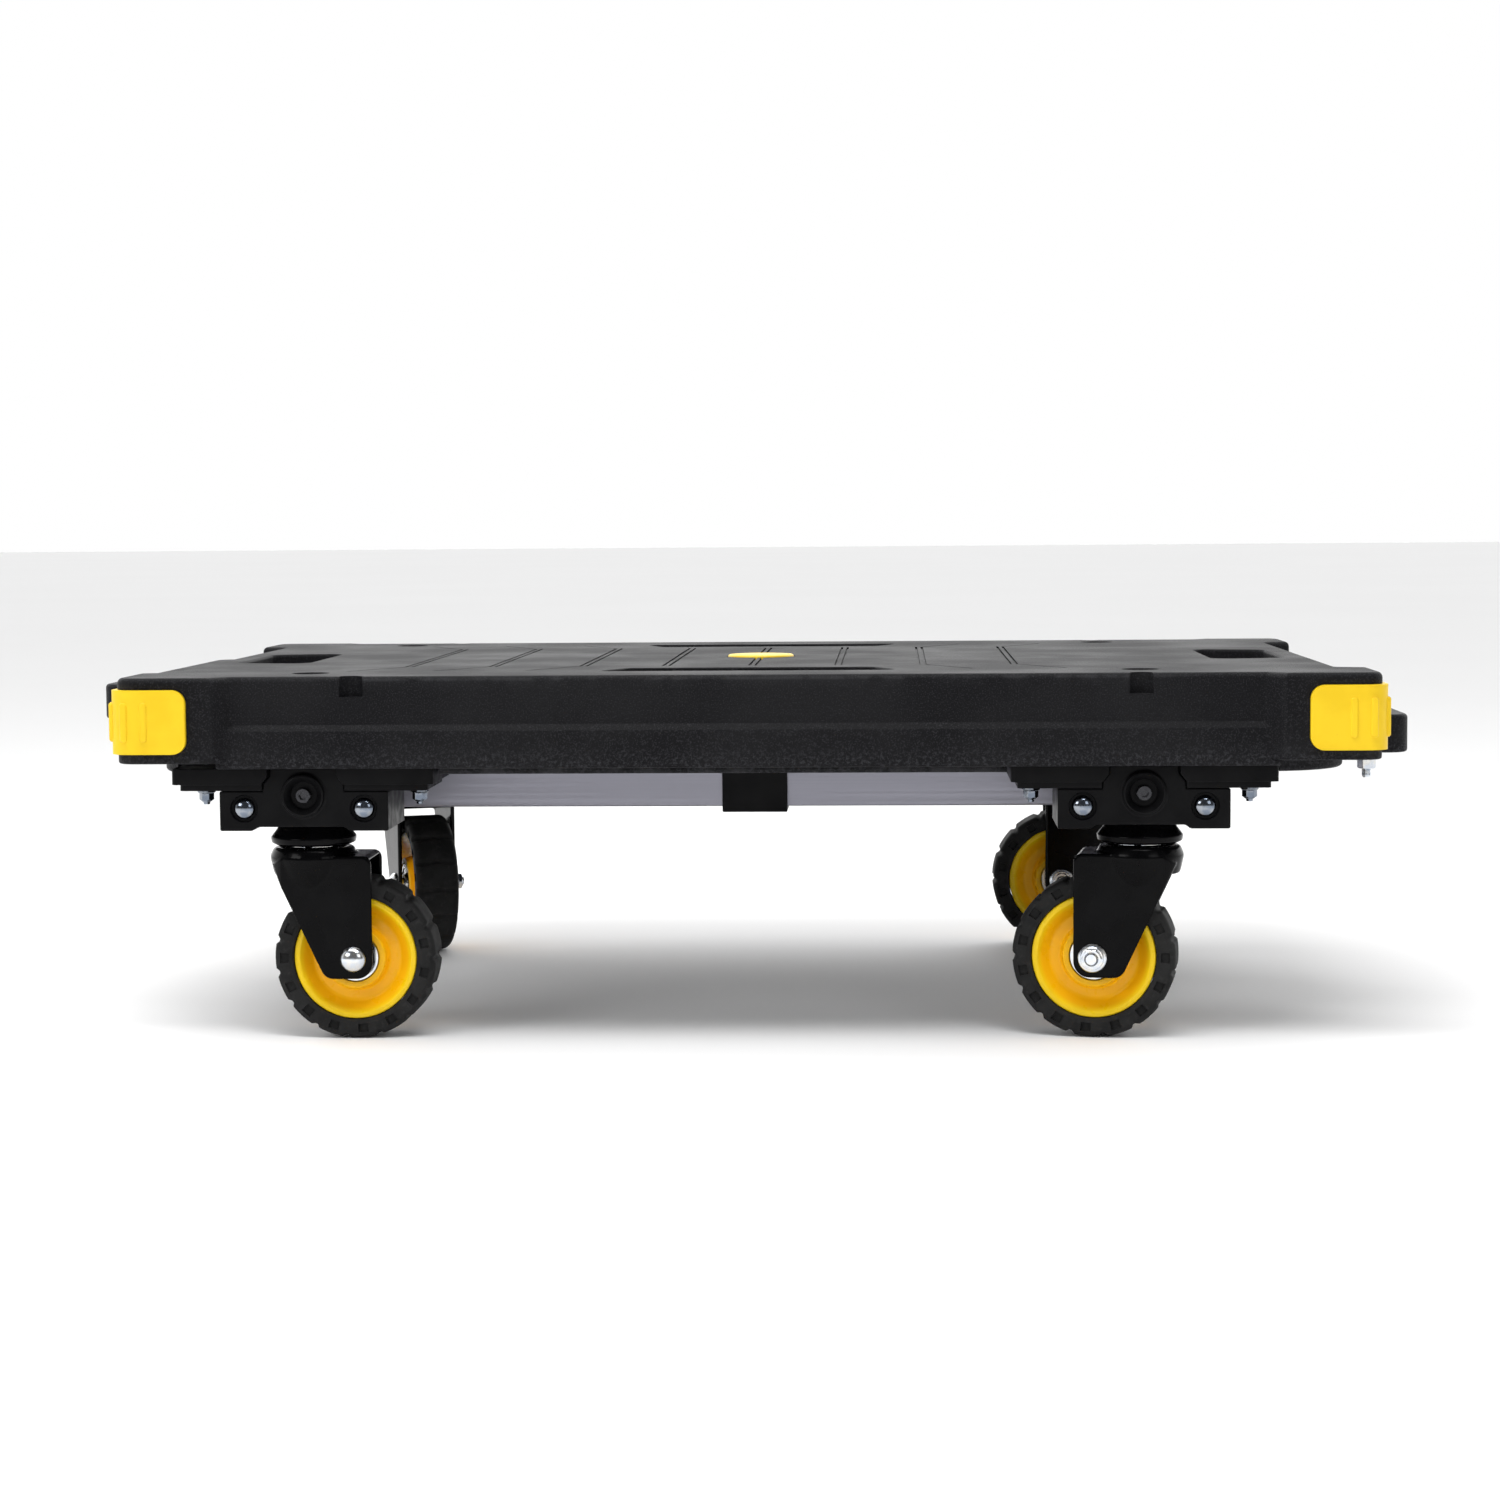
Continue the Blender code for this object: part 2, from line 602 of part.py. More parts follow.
def make_rails():
    """Box-section rails under the pan, between the casters, each held by a saddle clip."""
    top = PAN_BOTTOM - GAP
    for side_name, sign in (("front", -1), ("rear", 1)):
        middle = sign * RAIL_Y
        sides = (middle - RAIL_WIDTH / 2, middle + RAIL_WIDTH / 2)
        rail = box("rail", RAIL_X, sides, (RAIL_BOTTOM, top))
        inner = (sides[0] + RAIL_WALL, sides[1] - RAIL_WALL)
        bore_heights = (RAIL_BOTTOM + RAIL_WALL, top - RAIL_WALL)
        bore = box("rail_bore", (RAIL_X[0] - FAR, RAIL_X[1] + FAR), inner, bore_heights)
        finish(f"rail_{side_name}", combine(rail, "DIFFERENCE", bore), "aluminium")
        finish(f"rail_clip_{side_name}", clip_shape(middle, top), "bracket_black")


def clip_shape(middle, top):
    half_inner = RAIL_WIDTH / 2 + GAP
    half_outer = half_inner + CLIP_WALL
    flange = half_outer + 12 * MM
    low = RAIL_BOTTOM - GAP
    outline = [(-flange, top), (-flange, top - CLIP_WALL), (-half_outer, top - CLIP_WALL),
               (-half_outer, low - CLIP_WALL), (half_outer, low - CLIP_WALL), (half_outer, top - CLIP_WALL),
               (flange, top - CLIP_WALL), (flange, top), (half_inner, top), (half_inner, low),
               (-half_inner, low), (-half_inner, top)]
    placed = [(middle + y, z) for y, z in outline]
    return prism("rail_clip", placed, -CLIP_LENGTH / 2, CLIP_LENGTH / 2, "YZ")


# ---------------------------------------------------------------- caster, fixed pieces

def neck_outline(margin=0.0):
    wide, narrow = NECK_HALF_WIDTHS[0] + margin, NECK_HALF_WIDTHS[1] + margin
    low, high = PLATE_STEP_BOTTOM - margin - 2 * MM, PLATE_LIP[1] + margin
    return [(-wide, low), (wide, low), (wide, PLATE_LIP[0]), (narrow, PLATE_LIP[0] + 5 * MM), (narrow, high),
            (-narrow, high), (-narrow, PLATE_LIP[0] + 5 * MM), (-wide, PLATE_LIP[0])]


def mount_plate_shape():
    """A stepped plate with a gap in its outer side for the bracket's neck. Outer side at -Y."""
    length, depth = PLATE_HALF_LENGTH, PLATE_HALF_DEPTH
    inset = PLATE_STEP_INSET
    plate = prism("plate_lip", rectangle(-length, length, -depth, depth, 3 * MM), *PLATE_LIP)
    step = prism("plate_step", rectangle(inset - length, length - inset, inset - depth, depth - inset, 3 * MM),
                 PLATE_STEP_BOTTOM, PLATE_LIP[0] + MM)
    combine(plate, "UNION", step)
    neck_gap = prism("neck_gap", neck_outline(GAP), 25 * MM, depth + WALL, "XZ")
    moved(neck_gap, Matrix.Diagonal((1, -1, 1, 1)))
    neck_gap.data.flip_normals()
    combine(plate, "DIFFERENCE", neck_gap)
    bolts = [shifted(plate_bolt_shape(), sign * PLATE_BOLT_X) for sign in (-1, 1)]
    return combine(plate, "UNION", *bolts)


def plate_bolt_shape():
    """A bolt tightened in the plate, with its locking nut below."""
    nut_low = PLATE_STEP_BOTTOM - PLATE_NUT_HEIGHT
    bolt = cylinder("plate_bolt", PLATE_BOLT_RADIUS, nut_low - 3.5 * MM, PLATE_BOLT_TOP, BOLT_STEPS)
    nut = hexagon("plate_nut", PLATE_NUT_FLATS, nut_low, PLATE_STEP_BOTTOM + MM)
    return combine(bolt, "UNION", nut)


def bracket_shape():
    """A box open at its top, with end tabs, a neck, pin recesses and a raised ring. Outer side at -Y."""
    length, depth, floor = BRACKET_HALF_LENGTH, BRACKET_HALF_DEPTH, BRACKET_FLOOR
    top = PLATE_STEP_BOTTOM - GAP
    outer_tab, inner_tab = 20 * MM, 24 * MM
    slant = 3 * MM
    side = [(-length, BRACKET_TABS), (outer_tab - length, BRACKET_TABS), (outer_tab - length + slant, floor),
            (length - inner_tab - slant, floor), (length - inner_tab, BRACKET_TABS), (length, BRACKET_TABS),
            (length, top), (-length, top)]
    body = prism("bracket_body", side, -depth, depth, "XZ")
    inner = rectangle(BRACKET_WALL - length, length - BRACKET_WALL, BRACKET_WALL - depth, depth - BRACKET_WALL)
    cavity = prism("bracket_cavity", inner, floor + WALL, top + WALL)
    neck = prism("bracket_neck", neck_outline(), -depth, -depth + BRACKET_WALL, "XZ")
    boss = along_y(cylinder("ring_boss", RING_RADIUS, -4 * MM, RING_PROUD))
    shifted(boss, y=-depth, z=RING_Z)
    combine(body, "DIFFERENCE", cavity)
    combine(body, "UNION", neck, boss)
    ring_cut = turned("ring_cut", [(0, RING_PROUD + MM), (RING_RADIUS - MM, RING_PROUD + MM),
                                   (RING_CAVITY_RADIUS, -MM), (RING_CAVITY_RADIUS, -2 * MM),
                                   (0, -2 * MM)], closed=False)
    shifted(along_y(ring_cut), y=-depth, z=RING_Z)
    cuts = [ring_cut]
    for sign in (-1, 1):
        seats = (depth - PIN_RECESS, depth + 2 * MM)
        recess = along_y(cylinder("pin_recess", PIN_RECESS_RADIUS, *seats, SMALL_ROUND))
        cuts.append(shifted(recess, x=sign * PIN_X, z=PIN_Z))
    cuts.append(cylinder("kingpin_hole", KINGPIN_RADIUS + GAP, 0, floor + 2 * WALL, SMALL_ROUND))
    combine(body, "DIFFERENCE", *cuts)
    heads = []
    for sign in (-1, 1):
        heads.append(shifted(pin_head_shape(depth - PIN_RECESS), x=sign * PIN_X, z=PIN_Z))
        inner_head = moved(pin_head_shape(depth), Matrix.Rotation(math.pi, 4, "Z"))
        heads.append(shifted(inner_head, x=sign * PIN_X, z=PIN_Z))
    return combine(body, "UNION", bracket_bolt_shape(), *heads)


def race_shape():
    """The upper race: a pressed ring that flares out and back over the balls."""
    hole = KINGPIN_RADIUS + GAP
    top = BRACKET_FLOOR - GAP
    ball_top = BALL_Z + BALL_RADIUS + GAP
    return turned("upper_race", [
        (hole, top), (20.5 * MM, top), (23.8 * MM, 128.5 * MM), (26.2 * MM, 121.7 * MM),
        (23.4 * MM, 119.5 * MM), (22.2 * MM, 120.7 * MM), (20.5 * MM, ball_top),
        (14 * MM, ball_top), (12 * MM, 126 * MM), (hole, 126 * MM)])


def kingpin_shape():
    """A pin with a riveted head in the bracket and a collar below the fork's crown."""
    head_low = BRACKET_FLOOR + WALL + GAP
    collar_top = CROWN_TOP - FORK_SHEET - GAP
    return turned("kingpin", [
        (0, head_low + 4 * MM), (6 * MM, head_low + 3.4 * MM), (9 * MM, head_low),
        (KINGPIN_RADIUS, head_low), (KINGPIN_RADIUS, collar_top), (9.5 * MM, collar_top),
        (9.5 * MM, collar_top - 2 * MM), (5 * MM, collar_top - 4 * MM), (0, collar_top - 4 * MM)],
        SMALL_ROUND, closed=False)


def pin_head_shape(seat):
    """The domed head of a riveted pin, on a seat this far to -Y of the kingpin."""
    dome = [(0, seat + 4 * MM), (3.6 * MM, seat + 3.4 * MM), (PIN_HEAD_RADIUS, seat + MM),
            (PIN_HEAD_RADIUS, seat - MM), (0, seat - MM)]
    return along_y(turned("pin_head", dome, BOLT_STEPS, closed=False))


def bracket_bolt_shape():
    """The hexagon bolt that is driven into the bracket's raised ring."""
    head = hexagon("bracket_bolt", 9 * MM, -3 * MM, 3 * MM)
    combine(head, "DIFFERENCE", hexagon("bolt_socket", 5 * MM, MM, 6 * MM))
    return shifted(along_y(head), y=-BRACKET_HALF_DEPTH, z=RING_Z)


# ---------------------------------------------------------------- caster, moving pieces

def fork_shape():
    """A pressed fork: a dished round crown and two tapered legs. The wheel trails to +X."""
    wide = FORK_HALF_WIDTH
    leg_top = CROWN_TOP - 0.4 * MM
    leg = rounded([
        (-23.4 * MM, 108 * MM, 0), (9.5 * MM, 37.6 * MM, 7 * MM),
        (38.8 * MM, 37.6 * MM, 8 * MM), (38.8 * MM, leg_top, 5 * MM), (-14 * MM, leg_top, 0)], segments=3)
    fork = prism("fork", leg, -wide, wide, "XZ")
    plan = [(FAR, -wide), (FAR, wide)]
    for step in range(9):
        angle = math.radians(126 + (234 - 126) * step / 8)
        plan.append((CROWN_RADIUS * math.cos(angle) - MM, CROWN_RADIUS * math.sin(angle)))
    combine(fork, "INTERSECT", prism("fork_plan", plan, 0, FAR))
    crown = turned("fork_crown", [
        (0, CROWN_TOP), (12 * MM, CROWN_TOP), (13.5 * MM, 116.2 * MM), (19 * MM, 116.2 * MM),
        (21.5 * MM, 118.2 * MM), (23 * MM, 117.9 * MM), (25.4 * MM, 115.4 * MM), (CROWN_RADIUS, 112 * MM),
        (25.6 * MM, 105 * MM), (23 * MM, 102 * MM), (0, 102 * MM)], closed=False)
    combine(fork, "UNION", crown)
    inside = wide - FORK_SHEET
    under = CROWN_TOP - FORK_SHEET
    wheel_space = box("wheel_space", (-FAR, FAR), (-inside, inside), (0, 101 * MM))
    crown_space = box("crown_space", (-17 * MM, FAR), (-inside, inside), (100 * MM, under))
    hole = cylinder("kingpin_clearance", KINGPIN_RADIUS + 2 * GAP, 0, FAR, SMALL_ROUND)
    axle_hole = along_y(cylinder("axle_hole", AXLE_RADIUS + GAP, -wide - WALL, wide + WALL, SMALL_ROUND))
    shifted(axle_hole, x=TRAIL, z=WHEEL_RADIUS)
    return combine(fork, "DIFFERENCE", wheel_space, crown_space, hole, axle_hole)


def balls_shape():
    """The steel balls of the swivel, held in a thin ring cage."""
    cage = (BALL_CIRCLE - 0.8 * MM, BALL_CIRCLE + 0.8 * MM)
    heights = (BALL_Z + 0.5 * MM, BALL_Z - 0.5 * MM)
    ring = turned("ball_cage", [(cage[1], heights[0]), (cage[1], heights[1]), (cage[0], heights[1]),
                                (cage[0], heights[0])], 12)
    balls = []
    for index in range(BALLS):
        angle = 2 * math.pi * (index + 0.5) / BALLS
        ball = bmesh.new()
        bmesh.ops.create_uvsphere(ball, u_segments=6, v_segments=4, radius=BALL_RADIUS)
        mesh = bpy.data.meshes.new("ball")
        ball.to_mesh(mesh)
        ball.free()
        x, y = BALL_CIRCLE * math.cos(angle), BALL_CIRCLE * math.sin(angle)
        balls.append(shifted(link("ball", mesh), x, y, BALL_Z))
    return combine(ring, "UNION", *balls)


def axle_bolt_shape():
    """The axle: a domed head on one side of the fork and a plain end on the other."""
    seat = FORK_HALF_WIDTH + GAP
    end = -seat - 8 * MM
    profile = [(0, seat + 4.6 * MM), (4 * MM, seat + 4 * MM), (6.8 * MM, seat + 2.4 * MM),
               (8 * MM, seat + 0.6 * MM), (8 * MM, seat), (AXLE_RADIUS, seat), (AXLE_RADIUS, end), (0, end)]
    return along_y(turned("axle_bolt", profile, SMALL_ROUND, closed=False))


def axle_nut_shape():
    seat = -FORK_HALF_WIDTH - GAP
    thread = AXLE_RADIUS + GAP
    washer = turned("axle_washer", [(8.8 * MM, seat), (8.8 * MM, seat - 1.8 * MM), (thread, seat - 1.8 * MM),
                                    (thread, seat)], SMALL_ROUND)
    nut = combine(hexagon("axle_nut", 13 * MM, seat - 6.5 * MM, seat - MM), "DIFFERENCE",
                  cylinder("axle_thread", thread, -FAR, FAR, SMALL_ROUND))
    return along_y(combine(nut, "UNION", washer))


def hub_shape():
    """A dished hub: rim, web and boss, with a seat for a bearing at each end."""
    seat = BEARING_RADIUS + GAP
    shelf = HUB_FACE - BEARING_WIDTH
    half = [(HUB_RADIUS, 13 * MM), (34 * MM, 13 * MM), (26 * MM, 6 * MM), (19.5 * MM, 6 * MM),
            (18 * MM, HUB_FACE), (seat, HUB_FACE), (seat, shelf), (9 * MM, shelf)]
    profile = [(radius, -height) for radius, height in half]
    profile = [half[0]] + profile + list(reversed(half[1:]))
    return along_y(turned("wheel_hub", profile))


def tyre_shape():
    inner = HUB_RADIUS + GAP
    half = [(WHEEL_RADIUS, 11 * MM), (48.6 * MM, 14.5 * MM), (45.5 * MM, TYRE_HALF_WIDTH), (inner, 14 * MM)]
    lower = [(radius, -height) for radius, height in half]
    return along_y(turned("tyre", lower + list(reversed(half)), TYRE_STEPS))


def bearings_shape():
    """A bearing in each end of the hub, with the spacer sleeve between them."""
    bore = AXLE_RADIUS + 2 * GAP
    face = HUB_FACE - GAP
    half = [(BEARING_RADIUS, HUB_FACE - BEARING_WIDTH + GAP), (BEARING_RADIUS, face), (9 * MM, face),
            (8 * MM, HUB_FACE + MM), (bore, HUB_FACE + MM)]
    sleeve = (7.5 * MM, HUB_FACE - BEARING_WIDTH + GAP)
    upper = list(reversed(half)) + [sleeve]
    lower = [(radius, -height) for radius, height in [sleeve] + half]
    return along_y(turned("wheel_bearings", upper + lower))


def empty(name, location, rotation=0.0, parent=None):
    made = bpy.data.objects.new(name, None)
    dolly.objects.link(made)
    made.parent = parent
    made.location = location
    made.rotation_euler.z = rotation
    made.empty_display_size = 0.02
    return made


def make_casters():
    fixed = (("mount_plate", mount_plate_shape(), "bracket_black"),
             ("caster_bracket", bracket_shape(), "bracket_black"),
             ("upper_race", race_shape(), "gloss_black"), ("kingpin", kingpin_shape(), "zinc_steel"))
    swivelling = (("fork", fork_shape(), "gloss_black"), ("ball_cage", balls_shape(), "zinc_steel"))
    on_axle = (("axle_bolt", axle_bolt_shape(), "zinc_steel"), ("axle_nut", axle_nut_shape(), "zinc_steel"))
    spinning = (("wheel_hub", hub_shape(), "hub_yellow"), ("tyre", tyre_shape(), "tyre_black"),
                ("wheel_bearings", bearings_shape(), "zinc_steel"))
    for place, x, y, y_sign in caster_spots():
        seat = empty(f"seat_{place}", (x, y, 0), 0 if y_sign < 0 else math.pi)
        swivel = empty(f"swivel_{place}", (x, y, 0), math.radians(TRAIL_ANGLES[place]))
        wheel = empty(f"wheel_{place}", (TRAIL, 0, WHEEL_RADIUS), parent=swivel)
        for holder, pieces in ((seat, fixed), (swivel, swivelling), (wheel, on_axle + spinning)):
            for name, shape, material in pieces:
                finish(f"{name}_{place}", shape, material, parent=holder)


clear_scene()
dolly = new_collection("furniture_dolly")
cutters = new_collection("cutters")
materials = {name: new_material(name) for name in MATERIALS}
make_deck_shell()
make_pan()
make_bumpers()
make_badge()
make_link_bolts()
make_rails()
make_casters()
for leftover in list(cutters.objects):
    bpy.data.objects.remove(leftover)
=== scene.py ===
import json
import math

import bmesh
import bpy
from mathutils import Matrix, Vector

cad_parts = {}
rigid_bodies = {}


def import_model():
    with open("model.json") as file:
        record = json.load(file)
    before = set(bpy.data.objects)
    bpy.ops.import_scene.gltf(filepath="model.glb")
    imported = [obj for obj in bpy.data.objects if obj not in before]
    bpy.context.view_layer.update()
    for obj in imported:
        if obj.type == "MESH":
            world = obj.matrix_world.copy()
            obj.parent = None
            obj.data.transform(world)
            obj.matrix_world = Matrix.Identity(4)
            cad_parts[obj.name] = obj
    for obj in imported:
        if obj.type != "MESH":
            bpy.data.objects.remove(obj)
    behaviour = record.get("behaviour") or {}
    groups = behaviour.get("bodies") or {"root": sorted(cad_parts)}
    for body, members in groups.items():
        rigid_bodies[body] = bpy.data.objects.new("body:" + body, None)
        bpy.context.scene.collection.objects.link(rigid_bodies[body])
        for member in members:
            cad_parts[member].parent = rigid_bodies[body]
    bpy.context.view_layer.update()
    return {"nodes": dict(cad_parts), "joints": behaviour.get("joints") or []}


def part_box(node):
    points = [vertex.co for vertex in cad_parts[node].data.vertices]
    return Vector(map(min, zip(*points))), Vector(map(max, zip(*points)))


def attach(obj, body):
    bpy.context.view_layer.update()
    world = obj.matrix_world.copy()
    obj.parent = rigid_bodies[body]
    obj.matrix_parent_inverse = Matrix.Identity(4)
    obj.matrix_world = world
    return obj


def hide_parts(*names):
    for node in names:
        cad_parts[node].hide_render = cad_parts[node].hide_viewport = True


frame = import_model()

MM = 0.001
TINY = 0.000002
FAR = 0.3

# ---------------------------------------------------------------- sizes read from the frame

deck_low, deck_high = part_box("deck_shell")
DECK_TOP = deck_high.z
SKIRT_BOTTOM = deck_low.z
TONGUE_TIP = deck_high.x
CORNER_HALF_DEPTH = deck_high.y

bumper_low, bumper_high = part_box("bumper_rear_right")
BUMPER_RIB = 1.2 * MM
BUMPER_X = bumper_high.x - BUMPER_RIB
BUMPER_Y = bumper_high.y - BUMPER_RIB
BUMPER_Z = (bumper_low.z, bumper_high.z)
BUMPER_LENGTH = BUMPER_X - bumper_low.x

badge_low, badge_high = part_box("centre_badge")
BADGE_RADIUS = badge_high.x
BADGE_TOP = badge_high.z

pan_low, pan_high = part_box("deck_underpan")
rail_low, rail_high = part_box("rail_rear")
clip_low, clip_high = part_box("rail_clip_rear")
link_low, link_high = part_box("link_bolt_rear")
link_nut_low, link_nut_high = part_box("link_nut_rear")

joints = {joint["name"]: joint for joint in frame["joints"]}
PLACES = [name.replace("swivel_turn_", "") for name in joints if name.startswith("swivel_turn_")]
KINGPINS = {place: Vector(joints[f"swivel_turn_{place}"]["pos_m"]) for place in PLACES}
AXLES = {place: Vector(joints[f"wheel_spin_{place}"]["pos_m"]) for place in PLACES}

FIRST = PLACES[0]
first_pin, first_axle = KINGPINS[FIRST], AXLES[FIRST]
TRAIL = (first_axle.xy - first_pin.xy).length
WHEEL_RADIUS = first_axle.z

# ---------------------------------------------------------------- sizes of the deck's details

CORNER_HALF_LENGTH = BUMPER_X - 3 * MM
WALL_HALF_DEPTH = 240 * MM
END_WALL_X = 362 * MM
CORNER_START = 311 * MM
CORNER_STEP = 10.5 * MM
CORNER_INNER_Y = 186 * MM
CORNER_BOTTOM = 173 * MM
EDGE_ROUND = 3.5 * MM
WALL = 4 * MM
SKIN = 6 * MM
BAND_PROUD = 3 * MM
BAND_HEIGHTS = (191 * MM, 196.5 * MM)
NOTCH_X = 237.5 * MM
NOTCH_RADIUS = 7.25 * MM
NOTCH_DEPTH = 12.5 * MM
SLOT_X = (298 * MM, 345 * MM)
SLOT_HALF_WIDTH = 70 * MM
RECESS_HALF_LENGTH = 95 * MM
RECESS_Y = (152 * MM, 192 * MM)
RECESS_DEPTH = 3 * MM
GROOVE_HALF = 0.8 * MM
GROOVE_DEPTH = 1.2 * MM
TONGUE_HALF_WIDTH = 168 * MM
UPPER_TONGUE = (195 * MM, 217 * MM)
LOWER_TONGUE = (SKIRT_BOTTOM + 1.7 * MM, 194.5 * MM)
LINK_X = (link_low.x + link_high.x) / 2
LINK_Y = (link_low.y + link_high.y) / 2


# ---------------------------------------------------------------- mesh helpers

def rounded(corners, segments=6):
    """An outline whose corners (x, y, radius) are turned into arcs."""
    points = []
    for index, (x, y, radius) in enumerate(corners):
        here = Vector((x, y))
        if radius <= 0:
            points.append((x, y))
            continue
        before = (Vector(corners[index - 1][:2]) - here).normalized()
        after = (Vector(corners[(index + 1) % len(corners)][:2]) - here).normalized()
        half_turn = before.angle(after) / 2
        centre = here + (before + after).normalized() * radius / math.sin(half_turn)
        first = here + before * radius / math.tan(half_turn) - centre
        sweep = first.angle_signed(here + after * radius / math.tan(half_turn) - centre)
        for step in range(segments + 1):
            spoke = Matrix.Rotation(-sweep * step / segments, 2) @ first
            points.append(tuple(centre + spoke))
    return points


def rectangle(x_low, x_high, y_low, y_high, radius=0.0, segments=6):
    return rounded([(x_high, y_low, radius), (x_high, y_high, radius),
                    (x_low, y_high, radius), (x_low, y_low, radius)], segments)


AXES = {
    "XY": lambda x, y, z: (x, y, z),
    "XZ": lambda x, y, z: (x, z, y),
    "YZ": lambda x, y, z: (z, x, y),
}


def new_shape(name, shape):
    """A working object made from a bmesh; a piece later takes its mesh."""
    bmesh.ops.recalc_face_normals(shape, faces=shape.faces)
    mesh = bpy.data.meshes.new(name)
    shape.to_mesh(mesh)
    shape.free()
    made = bpy.data.objects.new(f"shape_{name}", mesh)
    bpy.context.scene.collection.objects.link(made)
    return made


def stacked(name, levels, plane="XY"):
    """A solid through outlines with the same number of points, given as (outline, height)."""
    shape = bmesh.new()
    to_space = AXES[plane]
    rings = [[shape.verts.new(to_space(x, y, height)) for x, y in outline] for outline, height in levels]
    for lower, upper in zip(rings, rings[1:]):
        for index, vertex in enumerate(lower):
            following = (index + 1) % len(lower)
            shape.faces.new((vertex, lower[following], upper[following], upper[index]))
    shape.faces.new(list(reversed(rings[0])))
    shape.faces.new(rings[-1])
    return new_shape(name, shape)


def prism(name, outline, low, high, plane="XY"):
    return stacked(name, [(outline, low), (outline, high)], plane)


def box(name, x, y, z):
    return prism(name, rectangle(x[0], x[1], y[0], y[1]), z[0], z[1])


def turned(name, profile, steps=64, closed=True):
    """A profile of (radius, height) points turned about Z."""
    shape = bmesh.new()
    line = [shape.verts.new((radius, 0, height)) for radius, height in profile]
    edges = [shape.edges.new(pair) for pair in zip(line, line[1:])]
    if closed:
        edges.append(shape.edges.new((line[-1], line[0])))
    bmesh.ops.spin(shape, geom=line + edges, cent=(0, 0, 0), axis=(0, 0, 1),
                   angle=2 * math.pi, steps=steps, use_merge=True)
    bmesh.ops.remove_doubles(shape, verts=shape.verts, dist=TINY)
    return new_shape(name, shape)


def cylinder(name, radius, low, high, steps=48):
    return turned(name, [(0, high), (radius, high), (radius, low), (0, low)], steps, closed=False)


def hexagon(name, flats, low, high, chamfer=0.0):
    """A hexagonal prism; its two ends are chamfered like a nut's."""
    points = flats / math.sqrt(3)
    prism_shape = cylinder(name, points, low, high, steps=6)
    if chamfer:
        limit = turned("hexagon_limit", [
            (0, high), (flats / 2, high), (points + chamfer, high - 2 * chamfer),
            (points + chamfer, low + 2 * chamfer), (flats / 2, low), (0, low)], 48, closed=False)
        combine(prism_shape, "INTERSECT", limit)
    return prism_shape


def baked(piece):
    graph = bpy.context.evaluated_depsgraph_get()
    mesh = bpy.data.meshes.new_from_object(piece.evaluated_get(graph))
    piece.modifiers.clear()
    piece.data = mesh
    return piece


def moved(piece, matrix):
    piece.data.transform(matrix)
    if matrix.determinant() < 0:
        piece.data.flip_normals()
    return piece


def shifted(piece, x=0.0, y=0.0, z=0.0):
    return moved(piece, Matrix.Translation((x, y, z)))


def along_y(piece):
    """Lay a shape made along Z down, so that its +Z end points to -Y."""
    return moved(piece, Matrix.Rotation(math.pi / 2, 4, "X"))


def combine(piece, operation, *others, solver="EXACT"):
    for other in others:
        modifier = piece.modifiers.new(other.name, "BOOLEAN")
        modifier.operation = operation
        modifier.solver = solver
        modifier.object = other
    return baked(piece)


def eased(piece, width, segments=3, angle=35):
    """Round every edge that is sharper than an angle."""
    bevel = piece.modifiers.new("ease", "BEVEL")
    bevel.width = width
    bevel.segments = segments
    bevel.limit_method = "ANGLE"
    bevel.angle_limit = math.radians(angle)
    bevel.use_clamp_overlap = True
    return baked(piece)


def flowed(piece, voxel, passes):
    """Remesh a shape evenly and smooth it, so that its faces run into each other."""
    remesh = piece.modifiers.new("remesh", "REMESH")
    remesh.mode = "VOXEL"
    remesh.voxel_size = voxel
    smooth = piece.modifiers.new("smooth", "SMOOTH")
    smooth.factor = 0.5
    smooth.iterations = passes
    return baked(piece)


def shaded(piece, angle=40):
    """Smooth shading that keeps flat faces flat."""
    mesh = piece.data
    mesh.shade_smooth()
    mesh.set_sharp_from_angle(angle=math.radians(angle))
    weighted = piece.modifiers.new("normals", "WEIGHTED_NORMAL")
    weighted.keep_sharp = True
    return baked(piece)


def piece_from(name, shape, slot, body, replaces=(), matrix=None, material=None):
    """A named piece with the shape's mesh, riding on a body in place of CAD nodes.

    It wears the material of its slot, unless another one is named.
    """
    made = bpy.data.objects.new(name, shape.data)
    bpy.context.scene.collection.objects.link(made)
    made.data.materials.clear()
    made.data.materials.append(MATERIALS[material or slot])
    if matrix is not None:
        made.matrix_world = matrix
    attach(made, body)
    if replaces:
        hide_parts(*replaces)
    return made


def four_ways(make):
    return [make(x_sign, y_sign) for x_sign in (-1, 1) for y_sign in (-1, 1)]


def arc_levels(radius, height, steps=5):
    """(inset, height) pairs of a rounded rim that ends at a height."""
    pairs = []
    for step in range(steps + 1):
        angle = math.pi / 2 * step / steps
        pairs.append((radius * (1 - math.cos(angle)), height - radius + radius * math.sin(angle)))
    return pairs


# ---------------------------------------------------------------- materials

